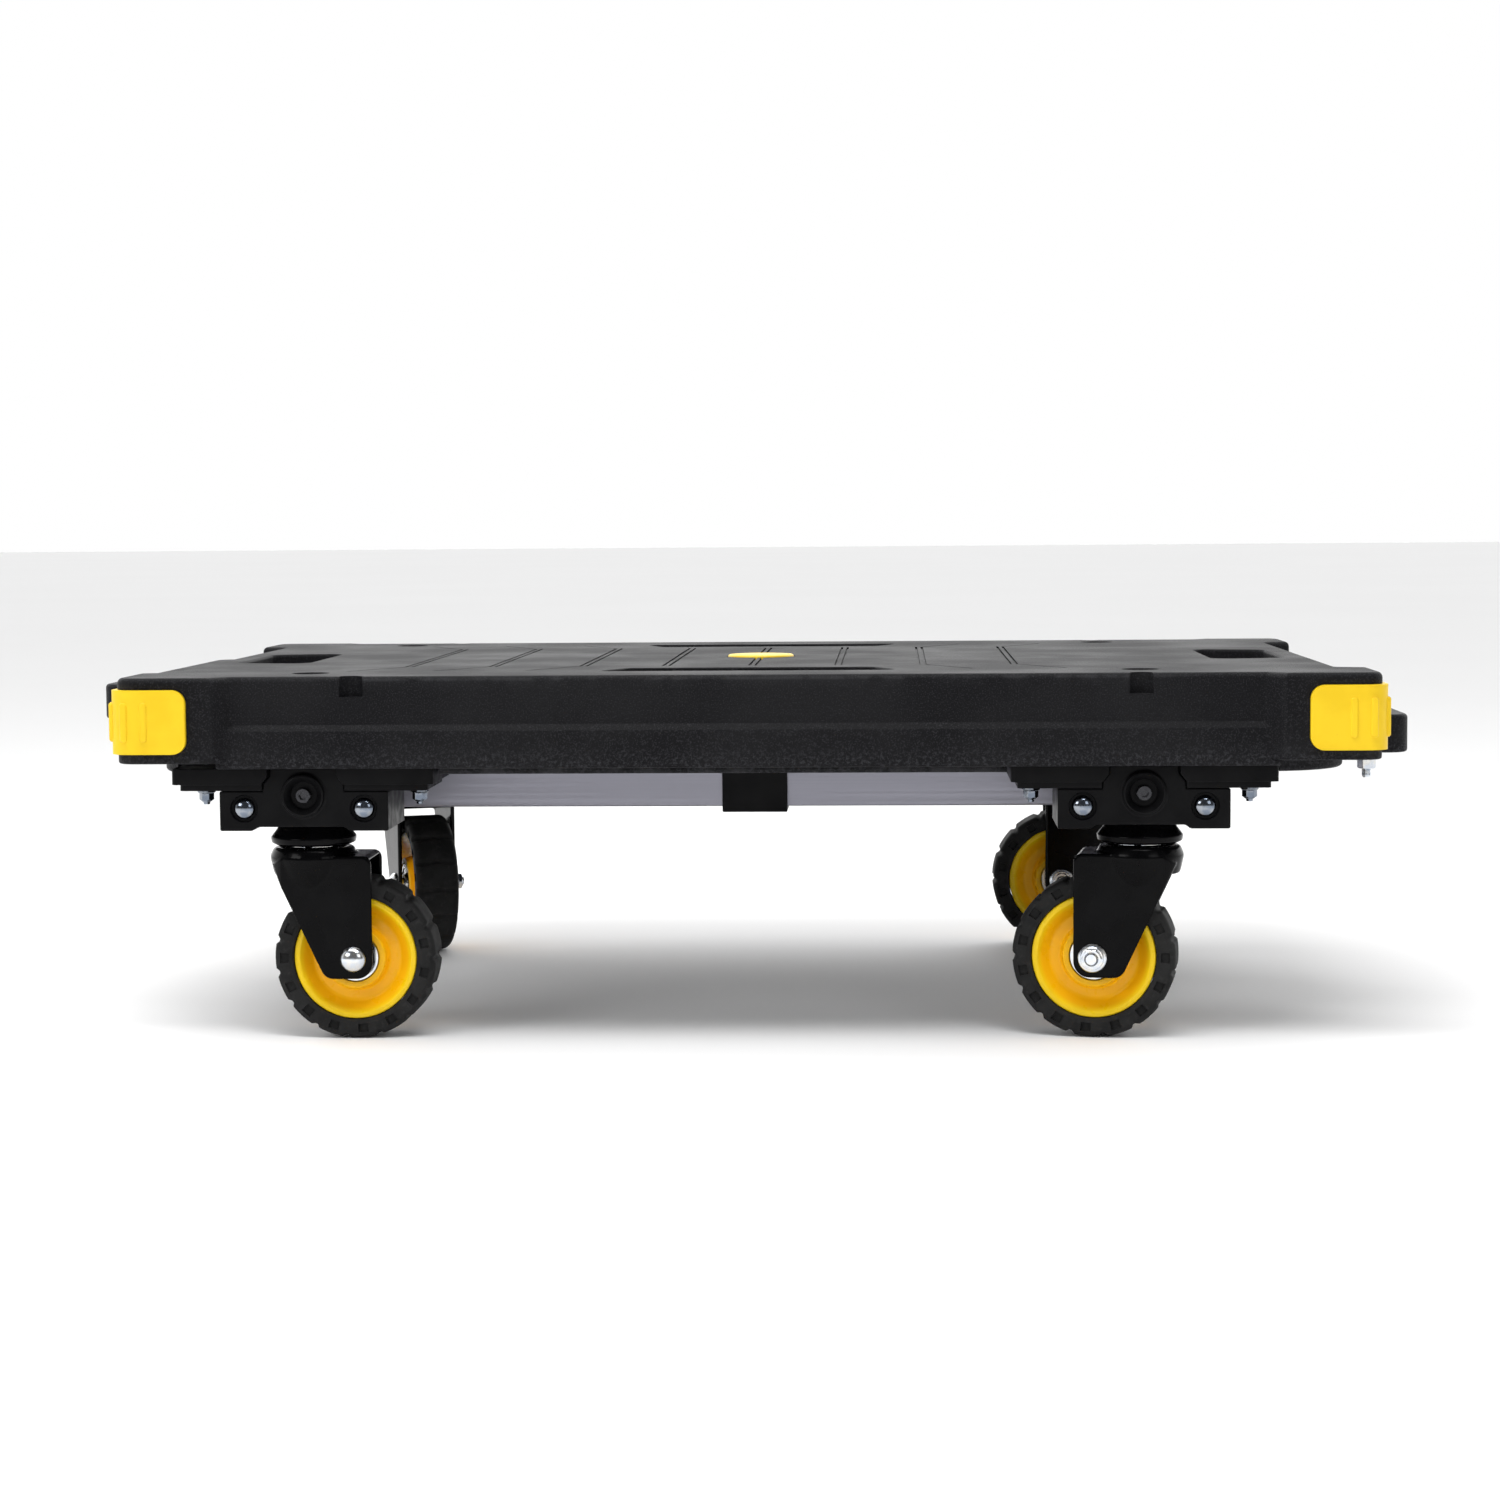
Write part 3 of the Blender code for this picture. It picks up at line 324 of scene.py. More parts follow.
class Surface:
    """A Principled material whose colour, roughness and relief come from textures in object space."""

    def __init__(self, name, colour, roughness, metallic=0.0, specular=0.5):
        self.material = bpy.data.materials.new(name)
        self.material.use_nodes = True
        self.material.diffuse_color = (*colour, 1.0)
        self.tree = self.material.node_tree
        self.shader = self.tree.nodes["Principled BSDF"]
        self.shader.inputs["Base Color"].default_value = (*colour, 1.0)
        self.shader.inputs["Roughness"].default_value = roughness
        self.shader.inputs["Metallic"].default_value = metallic
        self.shader.inputs["Specular IOR Level"].default_value = specular
        self.place = self.node("ShaderNodeTexCoord").outputs["Object"]
        self.normal = None

    def node(self, kind, **settings):
        made = self.tree.nodes.new(kind)
        for key, value in settings.items():
            setattr(made, key, value)
        return made

    def feed(self, socket, value):
        if isinstance(value, bpy.types.NodeSocket):
            self.tree.links.new(value, socket)
        else:
            socket.default_value = value

    def noise(self, scale, detail=3.0, stretch=None, roughness=0.5):
        """Noise from 0 to 1 with features of about 1 / scale metres."""
        made = self.node("ShaderNodeTexNoise")
        place = self.place
        if stretch:
            mapping = self.node("ShaderNodeMapping")
            mapping.inputs["Scale"].default_value = stretch
            self.feed(mapping.inputs["Vector"], place)
            place = mapping.outputs["Vector"]
        self.feed(made.inputs["Vector"], place)
        made.inputs["Scale"].default_value = scale
        made.inputs["Detail"].default_value = detail
        made.inputs["Roughness"].default_value = roughness
        return made.outputs["Fac"]

    def cells(self, scale):
        made = self.node("ShaderNodeTexVoronoi", feature="SMOOTH_F1")
        self.feed(made.inputs["Vector"], self.place)
        made.inputs["Scale"].default_value = scale
        return made.outputs["Distance"]

    def spread(self, value, start, end, low=0.0, high=1.0):
        """Map start to end of a value onto low to high, clamped."""
        made = self.node("ShaderNodeMapRange", interpolation_type="SMOOTHSTEP")
        self.feed(made.inputs["Value"], value)
        for key, number in (("From Min", start), ("From Max", end), ("To Min", low), ("To Max", high)):
            made.inputs[key].default_value = number
        return made.outputs["Result"]

    def maths(self, operation, first, second=0.0):
        made = self.node("ShaderNodeMath", operation=operation)
        self.feed(made.inputs[0], first)
        self.feed(made.inputs[1], second)
        return made.outputs[0]

    def height(self):
        split = self.node("ShaderNodeSeparateXYZ")
        self.feed(split.inputs[0], self.place)
        return split.outputs

    def blended(self, factor, first, second):
        made = self.node("ShaderNodeMix", data_type="RGBA")
        self.feed(made.inputs["Factor"], factor)
        for socket, colour in ((made.inputs[6], first), (made.inputs[7], second)):
            self.feed(socket, colour if isinstance(colour, bpy.types.NodeSocket) else (*colour, 1.0))
        return made.outputs[2]

    def colour(self, value):
        self.feed(self.shader.inputs["Base Color"], value)

    def roughness(self, value, low, high):
        """Vary the roughness from low to high with a noise."""
        self.feed(self.shader.inputs["Roughness"], self.spread(value, 0.3, 0.7, low, high))

    def relief(self, value, depth, strength=1.0):
        """Add a bump of a depth in metres on top of the earlier ones."""
        made = self.node("ShaderNodeBump")
        made.inputs["Distance"].default_value = depth
        made.inputs["Strength"].default_value = strength
        self.feed(made.inputs["Height"], value)
        if self.normal is not None:
            self.feed(made.inputs["Normal"], self.normal)
        self.normal = made.outputs["Normal"]
        self.feed(self.shader.inputs["Normal"], self.normal)

    def edges(self, low=0.52, high=0.62):
        """Where the surface bulges, as a mask for painted edge highlights."""
        pointiness = self.node("ShaderNodeNewGeometry").outputs["Pointiness"]
        return self.spread(pointiness, low, high)


def deck_black():
    """Moulded plastic: pebble grain, a coarser grain along the skirt's foot whose specks are painted lighter
    as painted glints, and painted edge highlights.
    """
    surface = Surface("deck_black", (0.010, 0.010, 0.011), 0.5, specular=0.058)
    patches = surface.noise(14.0, 4.0)
    grain = surface.noise(1200.0, 2.0)
    pebbles = surface.cells(900.0)
    base = surface.blended(surface.spread(patches, 0.35, 0.65), (0.0075, 0.0075, 0.0085),
                           (0.0115, 0.0115, 0.0125))
    speck = surface.spread(grain, 0.52, 0.66)
    base = surface.blended(surface.maths("MULTIPLY", speck, 0.8), base, (0.026, 0.026, 0.029))
    # Near the skirt's foot the specks of a coarser grain are bumped in and also painted lighter as painted
    # glints.
    foot = surface.spread(surface.height()["Z"], SKIRT_BOTTOM + 15 * MM, SKIRT_BOTTOM + 3 * MM)
    worm = surface.spread(surface.noise(420.0, 3.0, roughness=0.7), 0.5, 0.62)
    foot_grain_and_glint = surface.maths("MULTIPLY", foot, worm)
    base = surface.blended(surface.maths("MULTIPLY", foot_grain_and_glint, 0.55), base, (0.045, 0.045, 0.05))
    # Painted edge highlight: bulging edges, patchy with a noise, are painted lighter to stand for light
    # catching them.
    painted_edge_highlight = surface.maths("MULTIPLY", surface.edges(), surface.spread(surface.noise(60.0, 4.0), 0.4, 0.6))
    base = surface.blended(surface.maths("MULTIPLY", painted_edge_highlight, 0.6), base, (0.04, 0.04, 0.043))
    surface.colour(base)
    surface.roughness(patches, 0.44, 0.56)
    surface.relief(pebbles, 0.16 * MM, 1.0)
    surface.relief(grain, 0.22 * MM, 1.0)
    surface.relief(foot_grain_and_glint, 0.25 * MM, 0.6)
    return surface.material


def bracket_black():
    """Satin black moulding of the caster brackets, plates and clips."""
    surface = Surface("bracket_black", (0.005, 0.005, 0.0055), 0.42, specular=0.08)
    patches = surface.noise(35.0, 3.0)
    surface.colour(surface.blended(surface.spread(patches, 0.35, 0.65), (0.0035, 0.0035, 0.004),
                                   (0.006, 0.006, 0.0065)))
    surface.roughness(surface.noise(120.0, 3.0), 0.36, 0.5)
    surface.relief(surface.noise(1500.0, 2.0), 0.04 * MM, 0.5)
    return surface.material


def gloss_black():
    """Powder-coated steel of the forks and races, with a faint orange peel."""
    surface = Surface("gloss_black", (0.002, 0.002, 0.0024), 0.16, specular=0.07)
    patches = surface.noise(40.0, 3.0)
    surface.colour(surface.blended(surface.spread(patches, 0.4, 0.6), (0.0014, 0.0014, 0.0017),
                                   (0.0026, 0.0026, 0.003)))
    surface.roughness(surface.noise(90.0, 3.0), 0.13, 0.20)
    surface.relief(surface.noise(420.0, 2.0), 0.05 * MM, 0.35)
    return surface.material


def bumper_yellow():
    """Yellow rubber-like moulding with a fine leather grain and slightly darker scuffs."""
    surface = Surface("bumper_yellow", (0.84, 0.56, 0.012), 0.45, specular=0.3)
    patches = surface.noise(45.0, 4.0)
    base = surface.blended(surface.spread(patches, 0.35, 0.65), (0.82, 0.54, 0.006), (0.87, 0.585, 0.010))
    scuffs = surface.spread(surface.noise(320.0, 4.0, roughness=0.7), 0.62, 0.78)
    surface.colour(surface.blended(surface.maths("MULTIPLY", scuffs, 0.25), base, (0.66, 0.42, 0.02)))
    surface.roughness(patches, 0.40, 0.52)
    surface.relief(surface.cells(900.0), 0.05 * MM, 0.4)
    surface.relief(surface.noise(500.0, 3.0), 0.06 * MM, 0.35)
    return surface.material


def badge_yellow():
    surface = Surface("badge_yellow", (0.82, 0.56, 0.02), 0.38)
    patches = surface.noise(80.0, 4.0)
    surface.colour(surface.blended(surface.spread(patches, 0.35, 0.65), (0.80, 0.53, 0.015),
                                   (0.85, 0.60, 0.03)))
    surface.roughness(patches, 0.34, 0.45)
    surface.relief(surface.noise(700.0, 3.0), 0.04 * MM, 0.4)
    return surface.material


def hub_yellow():
    """Glossy polypropylene hub, with painted shade in its dish: deeper and darker orange towards its boss."""
    surface = Surface("hub_yellow", (0.93, 0.52, 0.01), 0.3, specular=0.25)
    outputs = surface.height()
    across = surface.maths("MULTIPLY", outputs["X"], outputs["X"])
    upward = surface.maths("MULTIPLY", outputs["Z"], outputs["Z"])
    radius = surface.maths("SQRT", surface.maths("ADD", across, upward))
    # Painted shade: inside the rim the dish is painted a deeper, darker orange than the rim.
    dish_shade_mask = surface.spread(radius, 34.5 * MM, 31 * MM)
    patches = surface.noise(60.0, 3.0)
    rim = surface.blended(patches, (0.92, 0.60, 0.006), (0.96, 0.66, 0.010))
    painted_dish_shade = surface.blended(patches, (0.93, 0.47, 0.003), (0.96, 0.52, 0.004))
    surface.colour(surface.blended(dish_shade_mask, rim, painted_dish_shade))
    surface.roughness(surface.noise(150.0, 3.0), 0.26, 0.36)
    surface.relief(surface.noise(350.0, 2.0), 0.05 * MM, 0.25)
    return surface.material


def tyre_black():
    surface = Surface("tyre_black", (0.018, 0.018, 0.018), 0.7, specular=0.12)
    patches = surface.noise(70.0, 4.0)
    dust = surface.spread(surface.noise(260.0, 4.0, roughness=0.65), 0.5, 0.72)
    base = surface.blended(surface.spread(patches, 0.35, 0.65), (0.014, 0.014, 0.0142), (0.022, 0.022, 0.022))
    surface.colour(surface.blended(surface.maths("MULTIPLY", dust, 0.35), base, (0.045, 0.044, 0.043)))
    surface.roughness(patches, 0.62, 0.8)
    surface.relief(surface.noise(1100.0, 3.0), 0.08 * MM, 0.5)
    return surface.material


def zinc_steel():
    """Bright zinc plate with fine turning marks and faint blue and straw patches."""
    surface = Surface("zinc_steel", (0.70, 0.72, 0.75), 0.2, metallic=1.0)
    tint = surface.spread(surface.noise(240.0, 3.0), 0.4, 0.62)
    surface.colour(surface.blended(tint, (0.66, 0.70, 0.76), (0.78, 0.77, 0.74)))
    surface.roughness(surface.noise(500.0, 3.0), 0.16, 0.24)
    surface.relief(surface.noise(900.0, 2.0), 0.004 * MM, 0.2)
    return surface.material


def dark_steel():
    """Chromated rivet steel, darker and bluer than the zinc plate."""
    surface = Surface("dark_steel", (0.22, 0.25, 0.30), 0.22, metallic=1.0)
    tint = surface.spread(surface.noise(260.0, 3.0), 0.4, 0.62)
    surface.colour(surface.blended(tint, (0.17, 0.20, 0.25), (0.28, 0.30, 0.33)))
    surface.roughness(surface.noise(500.0, 3.0), 0.10, 0.18)
    surface.relief(surface.noise(800.0, 2.0), 0.004 * MM, 0.2)
    return surface.material


def black_oxide():
    """Blackened steel of the bracket screws."""
    surface = Surface("black_oxide", (0.05, 0.05, 0.055), 0.25, metallic=1.0)
    patches = surface.noise(300.0, 3.0)
    surface.colour(surface.blended(patches, (0.035, 0.035, 0.04), (0.075, 0.075, 0.08)))
    surface.roughness(patches, 0.2, 0.32)
    surface.relief(surface.noise(900.0, 2.0), 0.01 * MM, 0.3)
    return surface.material


def aluminium():
    """Extruded aluminium, with die lines along the rail."""
    surface = Surface("aluminium", (0.30, 0.295, 0.34), 0.38, metallic=1.0)
    lines = surface.noise(1.0, 4.0, stretch=(3.0, 900.0, 900.0))
    surface.colour(surface.blended(lines, (0.26, 0.258, 0.30), (0.33, 0.328, 0.375)))
    surface.roughness(lines, 0.32, 0.46)
    surface.relief(lines, 0.02 * MM, 0.5)
    return surface.material


MATERIALS = {make.__name__: make() for make in (
    deck_black, bracket_black, gloss_black, bumper_yellow, badge_yellow, hub_yellow, tyre_black,
    zinc_steel, dark_steel, black_oxide, aluminium)}


# ---------------------------------------------------------------- deck

def deck_outline(inset=0.0):
    """The plan outline of the deck, moved inwards by an inset."""
    def convex(radius):
        return max(radius - inset, 0.8 * MM)

    def concave(radius):
        return radius + inset

    side = CORNER_START + CORNER_STEP
    quarter = [
        (CORNER_START + inset, WALL_HALF_DEPTH - inset, concave(4 * MM)),
        (side + inset, CORNER_HALF_DEPTH - inset, convex(4 * MM)),
        (CORNER_HALF_LENGTH - inset, CORNER_HALF_DEPTH - inset, convex(12 * MM)),
        (CORNER_HALF_LENGTH - inset, CORNER_INNER_Y + inset, convex(4 * MM)),
        (END_WALL_X - inset, CORNER_INNER_Y - 6 * MM + inset, concave(4 * MM)),
    ]
    backwards = list(reversed(quarter))
    corners = list(backwards)
    corners += [(-x, y, r) for x, y, r in quarter]
    corners += [(-x, -y, r) for x, y, r in backwards]
    corners += [(x, -y, r) for x, y, r in quarter]
    return rounded(corners, segments=6)


def band_outline(inset=0.0):
    """The long walls' lower band, whose ends run into the corner blocks."""
    end = CORNER_START + CORNER_STEP - inset
    out = WALL_HALF_DEPTH + BAND_PROUD - inset
    return rectangle(-end, end, -out, out, max(4 * MM - inset, 0.5 * MM), segments=4)


def slot_outline(sign, margin=0.0):
    """A hand slot: a trapezoid, wider on its inner side."""
    inner, outer = SLOT_X[0] - margin, SLOT_X[1] + margin
    half = SLOT_HALF_WIDTH + margin
    taper = 10 * MM
    radius = 10 * MM + margin
    corners = [(outer, -half + taper, radius), (outer, half - taper, radius),
               (inner, half, radius), (inner, -half, radius)]
    if sign < 0:
        corners = [(-x, y, r) for x, y, r in reversed(corners)]
    return rounded(corners, segments=8)


def recess_outline(sign, margin=0.0):
    near, far = (RECESS_Y[0] - margin) * sign, (RECESS_Y[1] + margin) * sign
    half = RECESS_HALF_LENGTH + margin
    slant = 17 * MM
    corners = [(half, far, 8 * MM + margin), (-half, far, 8 * MM + margin),
               (slant - half, near, 8 * MM + margin), (half - slant, near, 8 * MM + margin)]
    if sign < 0:
        corners.reverse()
    return rounded(corners, segments=6)


def flared(name, outline, low, high, flare):
    """A cutter whose mouth opens out in a rounded rim at its top."""
    levels = [(outline(0.0), low)]
    for step in range(5):
        angle = math.pi / 2 * step / 4
        levels.append((outline(flare * (1 - math.cos(angle))), high - flare + flare * math.sin(angle)))
    levels.append((outline(flare), high + 2 * MM))
    return stacked(name, levels)


def tongue(name, sign, heights):
    root = END_WALL_X - WALL / 2

    def outline(inset):
        tip = sign * (TONGUE_TIP - inset)
        half = TONGUE_HALF_WIDTH - inset
        corners = [(tip, -half, 14 * MM - inset), (tip, half, 14 * MM - inset),
                   (sign * root, half, 0), (sign * root, -half, 0)]
        return rounded(corners if sign > 0 else list(reversed(corners)), segments=8)

    ease = 1.5 * MM
    levels = [(outline(ease), heights[0]), (outline(ease * 0.3), heights[0] + ease * 0.3),
              (outline(0.0), heights[0] + ease)]
    levels += [(outline(inset), height) for inset, height in arc_levels(2.5 * MM, heights[1])]
    return stacked(name, levels)


def groove_run(points):
    """Cutters for a fine groove in the deck's top along points (x, y)."""
    cutters = []
    for (x0, y0), (x1, y1) in zip(points, points[1:]):
        run = Vector((x1 - x0, y1 - y0))
        side = Vector((-run.y, run.x)).normalized() * GROOVE_HALF
        end = run.normalized() * GROOVE_HALF
        corners = [(x0 - end.x - side.x, y0 - end.y - side.y), (x1 + end.x - side.x, y1 + end.y - side.y),
                   (x1 + end.x + side.x, y1 + end.y + side.y), (x0 - end.x + side.x, y0 - end.y + side.y)]
        cutters.append(prism("groove", corners, DECK_TOP - GROOVE_DEPTH, DECK_TOP + 2 * MM))
    return cutters


def groove_pattern():
    """Double lines across the middle and bracket-shaped grooves towards both ends."""
    half, spread = 128 * MM, 4 * MM
    arm_x, arm_y = 28 * MM, 178 * MM
    cutters = []
    for x in (-55 * MM, 0.0, 55 * MM):
        for offset in (-spread / 2, spread / 2):
            cutters += groove_run([(x + offset, -half), (x + offset, half)])
    for sign, distances in ((1, (110 * MM, 168 * MM)), (-1, (110 * MM, 168 * MM, 222 * MM))):
        for distance in distances:
            x = sign * distance
            cutters += groove_run([(x - sign * spread, -half), (x - sign * spread, half)])
            cutters += groove_run([(x + sign * arm_x, -arm_y), (x, -half), (x, half),
                                   (x + sign * arm_x, arm_y)])
    return cutters


def make_deck():
    foot = 1.2 * MM
    levels = [(deck_outline(foot), CORNER_BOTTOM), (deck_outline(foot * 0.3), CORNER_BOTTOM + foot * 0.3),
              (deck_outline(), CORNER_BOTTOM + foot)]
    levels += [(deck_outline(inset), height) for inset, height in arc_levels(EDGE_ROUND, DECK_TOP)]
    deck = stacked("deck", levels)
    edge = 1.5 * MM
    band = stacked("band", [
        (band_outline(edge), SKIRT_BOTTOM), (band_outline(edge * 0.3), SKIRT_BOTTOM + edge * 0.3),
        (band_outline(), SKIRT_BOTTOM + edge), (band_outline(), BAND_HEIGHTS[0] + 0.6 * MM),
        (band_outline(0.3 * MM), BAND_HEIGHTS[0] + 1.2 * MM),
        (band_outline(BAND_PROUD - 0.2 * MM), BAND_HEIGHTS[1] - MM),
        (band_outline(BAND_PROUD + MM), BAND_HEIGHTS[1] + MM)])
    combine(deck, "UNION", band)
    cavity = prism("cavity", deck_outline(WALL), SKIRT_BOTTOM - WALL, DECK_TOP - SKIN)
    combine(deck, "DIFFERENCE", cavity)
    bosses = four_ways(lambda x_sign, y_sign: shifted(
        cylinder("notch_boss", NOTCH_RADIUS + WALL, DECK_TOP - NOTCH_DEPTH - WALL, DECK_TOP - SKIN + MM),
        x_sign * NOTCH_X, y_sign * (WALL_HALF_DEPTH - MM)))
    outside = prism("outside_trim", deck_outline(MM), 0, FAR)
    for boss in bosses:
        combine(boss, "INTERSECT", outside)
    sleeves = [prism("slot_sleeve", slot_outline(sign, WALL), pan_high.z, DECK_TOP - WALL / 2)
               for sign in (-1, 1)]
    combine(deck, "UNION", *bosses, *sleeves)
    combine(deck, "UNION", tongue("upper_tongue", -1, UPPER_TONGUE), tongue("lower_tongue", 1, LOWER_TONGUE))

    cuts = [flared("slot_cut", lambda margin, sign=sign: slot_outline(sign, margin), 0, DECK_TOP, 2 * MM)
            for sign in (-1, 1)]
    cuts += four_ways(lambda x_sign, y_sign: shifted(
        cylinder("notch_cut", NOTCH_RADIUS, DECK_TOP - NOTCH_DEPTH, DECK_TOP + WALL), x_sign * NOTCH_X,
        y_sign * WALL_HALF_DEPTH))
    cuts += [flared("long_recess", lambda margin, sign=sign: recess_outline(sign, margin - MM),
                    DECK_TOP - RECESS_DEPTH, DECK_TOP, 1.2 * MM) for sign in (-1, 1)]
    for pin in KINGPINS.values():
        cuts.append(shifted(turned("cap_recess", [
            (0, DECK_TOP + MM), (12 * MM, DECK_TOP + MM), (11.6 * MM, DECK_TOP - 0.2 * MM),
                                                  (11 * MM, DECK_TOP - MM),
            (11 * MM, DECK_TOP - RECESS_DEPTH), (0, DECK_TOP - RECESS_DEPTH)], closed=False), pin.x, pin.y))
    cuts.append(cylinder("badge_seat", BADGE_RADIUS + MM, DECK_TOP - 1.8 * MM, DECK_TOP + WALL, 96))
    for x_sign, radius in ((1, 3.3 * MM), (-1, 7 * MM)):
        cuts += [shifted(cylinder("link_hole", radius, 0, FAR), x_sign * LINK_X, y)
                 for y in (-LINK_Y, LINK_Y)]
    seat_floor = LOWER_TONGUE[1] - 0.5 * MM
    cuts += [shifted(cylinder("link_seat", 7 * MM, seat_floor, FAR, 64), LINK_X, y)
             for y in (-LINK_Y, LINK_Y)]
    cuts += four_ways(lambda x_sign, y_sign: quartered(bumper_shape(0.3 * MM), x_sign, y_sign))
    combine(deck, "DIFFERENCE", *cuts, *groove_pattern(), solver="MANIFOLD")
    piece_from("deck_moulding", shaded(deck, 28), "deck_black", "root", ["deck_shell"])


def quartered(piece, x_sign, y_sign):
    """Mirror a shape of the +X +Y quarter into another quarter."""
    return moved(piece, Matrix.Diagonal((x_sign, y_sign, 1, 1)))


# ---------------------------------------------------------------- bumpers

def bumper_shape(margin=0.0):
    """A corner cap: an L in plan, cut to a rounded face towards each side."""
    thickness = 6 * MM
    low, high = BUMPER_Z[0] - margin, BUMPER_Z[1] + margin
    out_x, out_y = BUMPER_X + margin, BUMPER_Y + margin
    in_x, in_y = BUMPER_X - thickness - margin, BUMPER_Y - thickness - margin
    end_x, end_y = BUMPER_X - BUMPER_LENGTH - margin, BUMPER_Y - BUMPER_LENGTH - margin
    plan = rounded([(out_x, end_y, 1.2 * MM), (out_x, out_y, 13 * MM + margin), (end_x, out_y, 1.2 * MM),
                    (end_x, in_y, 0), (in_x, in_y, 6 * MM), (in_x, end_y, 0)], segments=12)
    body = prism("bumper", plan, low, high)

    def window(start):
        radius = 8.5 * MM + margin
        return rounded([(FAR * 2, low, 0), (FAR * 2, high, 0), (start, high, radius), (start, low, radius)],
                       segments=12)

    return combine(body, "INTERSECT", prism("front_window", window(end_x), 0, FAR * 2, "XZ"),
                   prism("side_window", window(end_y), 0, FAR * 2, "YZ"))


def bumper_ribs():
    """Two upright ribs on each face, near the corner."""
    middle = (BUMPER_Z[0] + BUMPER_Z[1]) / 2
    half_height, half_width = 12 * MM, 2.2 * MM
    ribs = []
    for distance in (9.5 * MM, 21.5 * MM):
        for along_x in (True, False):
            centre = (BUMPER_X if along_x else BUMPER_Y) - distance
            out = BUMPER_Y if along_x else BUMPER_X
            face = rectangle(centre - half_width, centre + half_width, middle - half_height,
                             middle + half_height,
                             2 * MM, segments=5)
            ease = rectangle(centre - half_width + 0.9 * MM, centre + half_width - 0.9 * MM,
                             middle - half_height + 0.9 * MM, middle + half_height - 0.9 * MM, 1.1 * MM,
                             segments=5)
            levels = [(face, out - 3 * MM), (face, out + 0.3 * MM), (ease, out + BUMPER_RIB)]
            ribs.append(stacked("bumper_rib", levels, "XZ" if along_x else "YZ"))
    return ribs


def make_bumpers():
    for end_name, x_sign in (("left", -1), ("right", 1)):
        for side_name, y_sign in (("front", -1), ("rear", 1)):
            body = eased(bumper_shape(), 1.1 * MM, 4)
            combine(body, "UNION", *bumper_ribs())
            place = f"{side_name}_{end_name}"
            piece_from(f"corner_cap_{place}", shaded(quartered(body, x_sign, y_sign), 50),
                       "bumper_yellow", "root", [f"bumper_{place}"])


# -------------------------------------------------------------- pan, badge, link bolts and rails

def make_pan():
    """The pan under the deck: a rounded rim, shallow panels underneath and a lip in front of each rail."""
    low, high = pan_low.z, pan_high.z
    length, depth, corner = pan_high.x, pan_high.y, 50 * MM

    def outline(inset):
        return rectangle(inset - length, length - inset, inset - depth, depth - inset, corner - inset,
                         segments=16)

    rim = [(outline(inset), low + high - height) for inset, height in reversed(arc_levels(2.5 * MM, high))]
    pan = stacked("pan", rim + [(outline(0.0), high)])
    hollow = prism("pan_hollow", outline(WALL), low + 3 * MM, high + WALL)
    combine(pan, "DIFFERENCE", hollow)
    combine(pan, "UNION", *[prism("pan_sleeve", slot_outline(sign, WALL), low, high) for sign in (-1, 1)])
    lip_half = min(abs(pin.x) for pin in KINGPINS.values()) - 81 * MM
    lip_inner, lip_reach = rail_high.y + 5 * MM, 4 * MM
    lip_outer = lip_inner + 2.5 * MM
    combine(pan, "UNION", *[box("rail_lip", (-lip_half, lip_half), sorted((sign * lip_inner,
                                                                           sign * lip_outer)),
                                (low - lip_reach, low + lip_reach)) for sign in (-1, 1)])
    cuts = [prism("pan_slot", slot_outline(sign), 0, FAR) for sign in (-1, 1)]
    plate_low, plate_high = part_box(f"mount_plate_{FIRST}")
    clear = 2 * MM
    half_length = (plate_high.x - plate_low.x) / 2 + clear
    half_depth = (plate_high.y - plate_low.y) / 2 + clear
    for pin in KINGPINS.values():
        sign = math.copysign(1, pin.y)
        ends = sorted((pin.y - sign * half_depth, pin.y + sign * FAR))
        cuts.append(box("plate_opening", (pin.x - half_length, pin.x + half_length), ends, (0, FAR)))
    panel_depth = 1.2 * MM
    for row in (-1, 0, 1):
        for column in range(-3, 4):
            x, y = (column * 82 - 15) * MM, row * 52 * MM
            half_panel = 22 * MM if row else 26 * MM
            cuts.append(stacked("pan_panel", [
                (rectangle(x - 37 * MM, x + 37 * MM, y - half_panel, y + half_panel, 6 * MM), low - MM),
                (rectangle(x - 37 * MM, x + 37 * MM, y - half_panel, y + half_panel, 6 * MM), low),
                (rectangle(x - 36 * MM, x + 36 * MM, y - half_panel + MM, y + half_panel - MM, 5 * MM),
                 low + panel_depth)]))
    combine(pan, "DIFFERENCE", *cuts)
    piece_from("underpan_moulding", shaded(pan, 30), "deck_black", "root", ["deck_underpan"])


def make_badge():
    top, low = BADGE_TOP, badge_low.z
    rim = BADGE_RADIUS
    profile = [(0, top), (rim - 4.2 * MM, top - 0.1 * MM), (rim - 3.9 * MM, top - 0.5 * MM),
               (rim - 3.3 * MM, top - 0.5 * MM),
               (rim - 3.0 * MM, top - 0.15 * MM), (rim - 1.2 * MM, top - 0.25 * MM),
               (rim - 0.5 * MM, top - 0.6 * MM),
               (rim, top - 1.3 * MM), (rim, low), (0, low)]
    badge = turned("badge", profile, 96, closed=False)
    piece_from("badge_disc", shaded(badge), "badge_yellow", "root", ["centre_badge"])


def threaded(radius, low, high, pitch):
    """Profile points down a threaded shank, as close rings."""
    points = []
    turns = int((high - low) / pitch)
    for turn in range(turns):
        start = high - turn * pitch
        points += [(radius, start - 0.15 * pitch), (radius - 0.45 * pitch, start - 0.6 * pitch)]
    return points


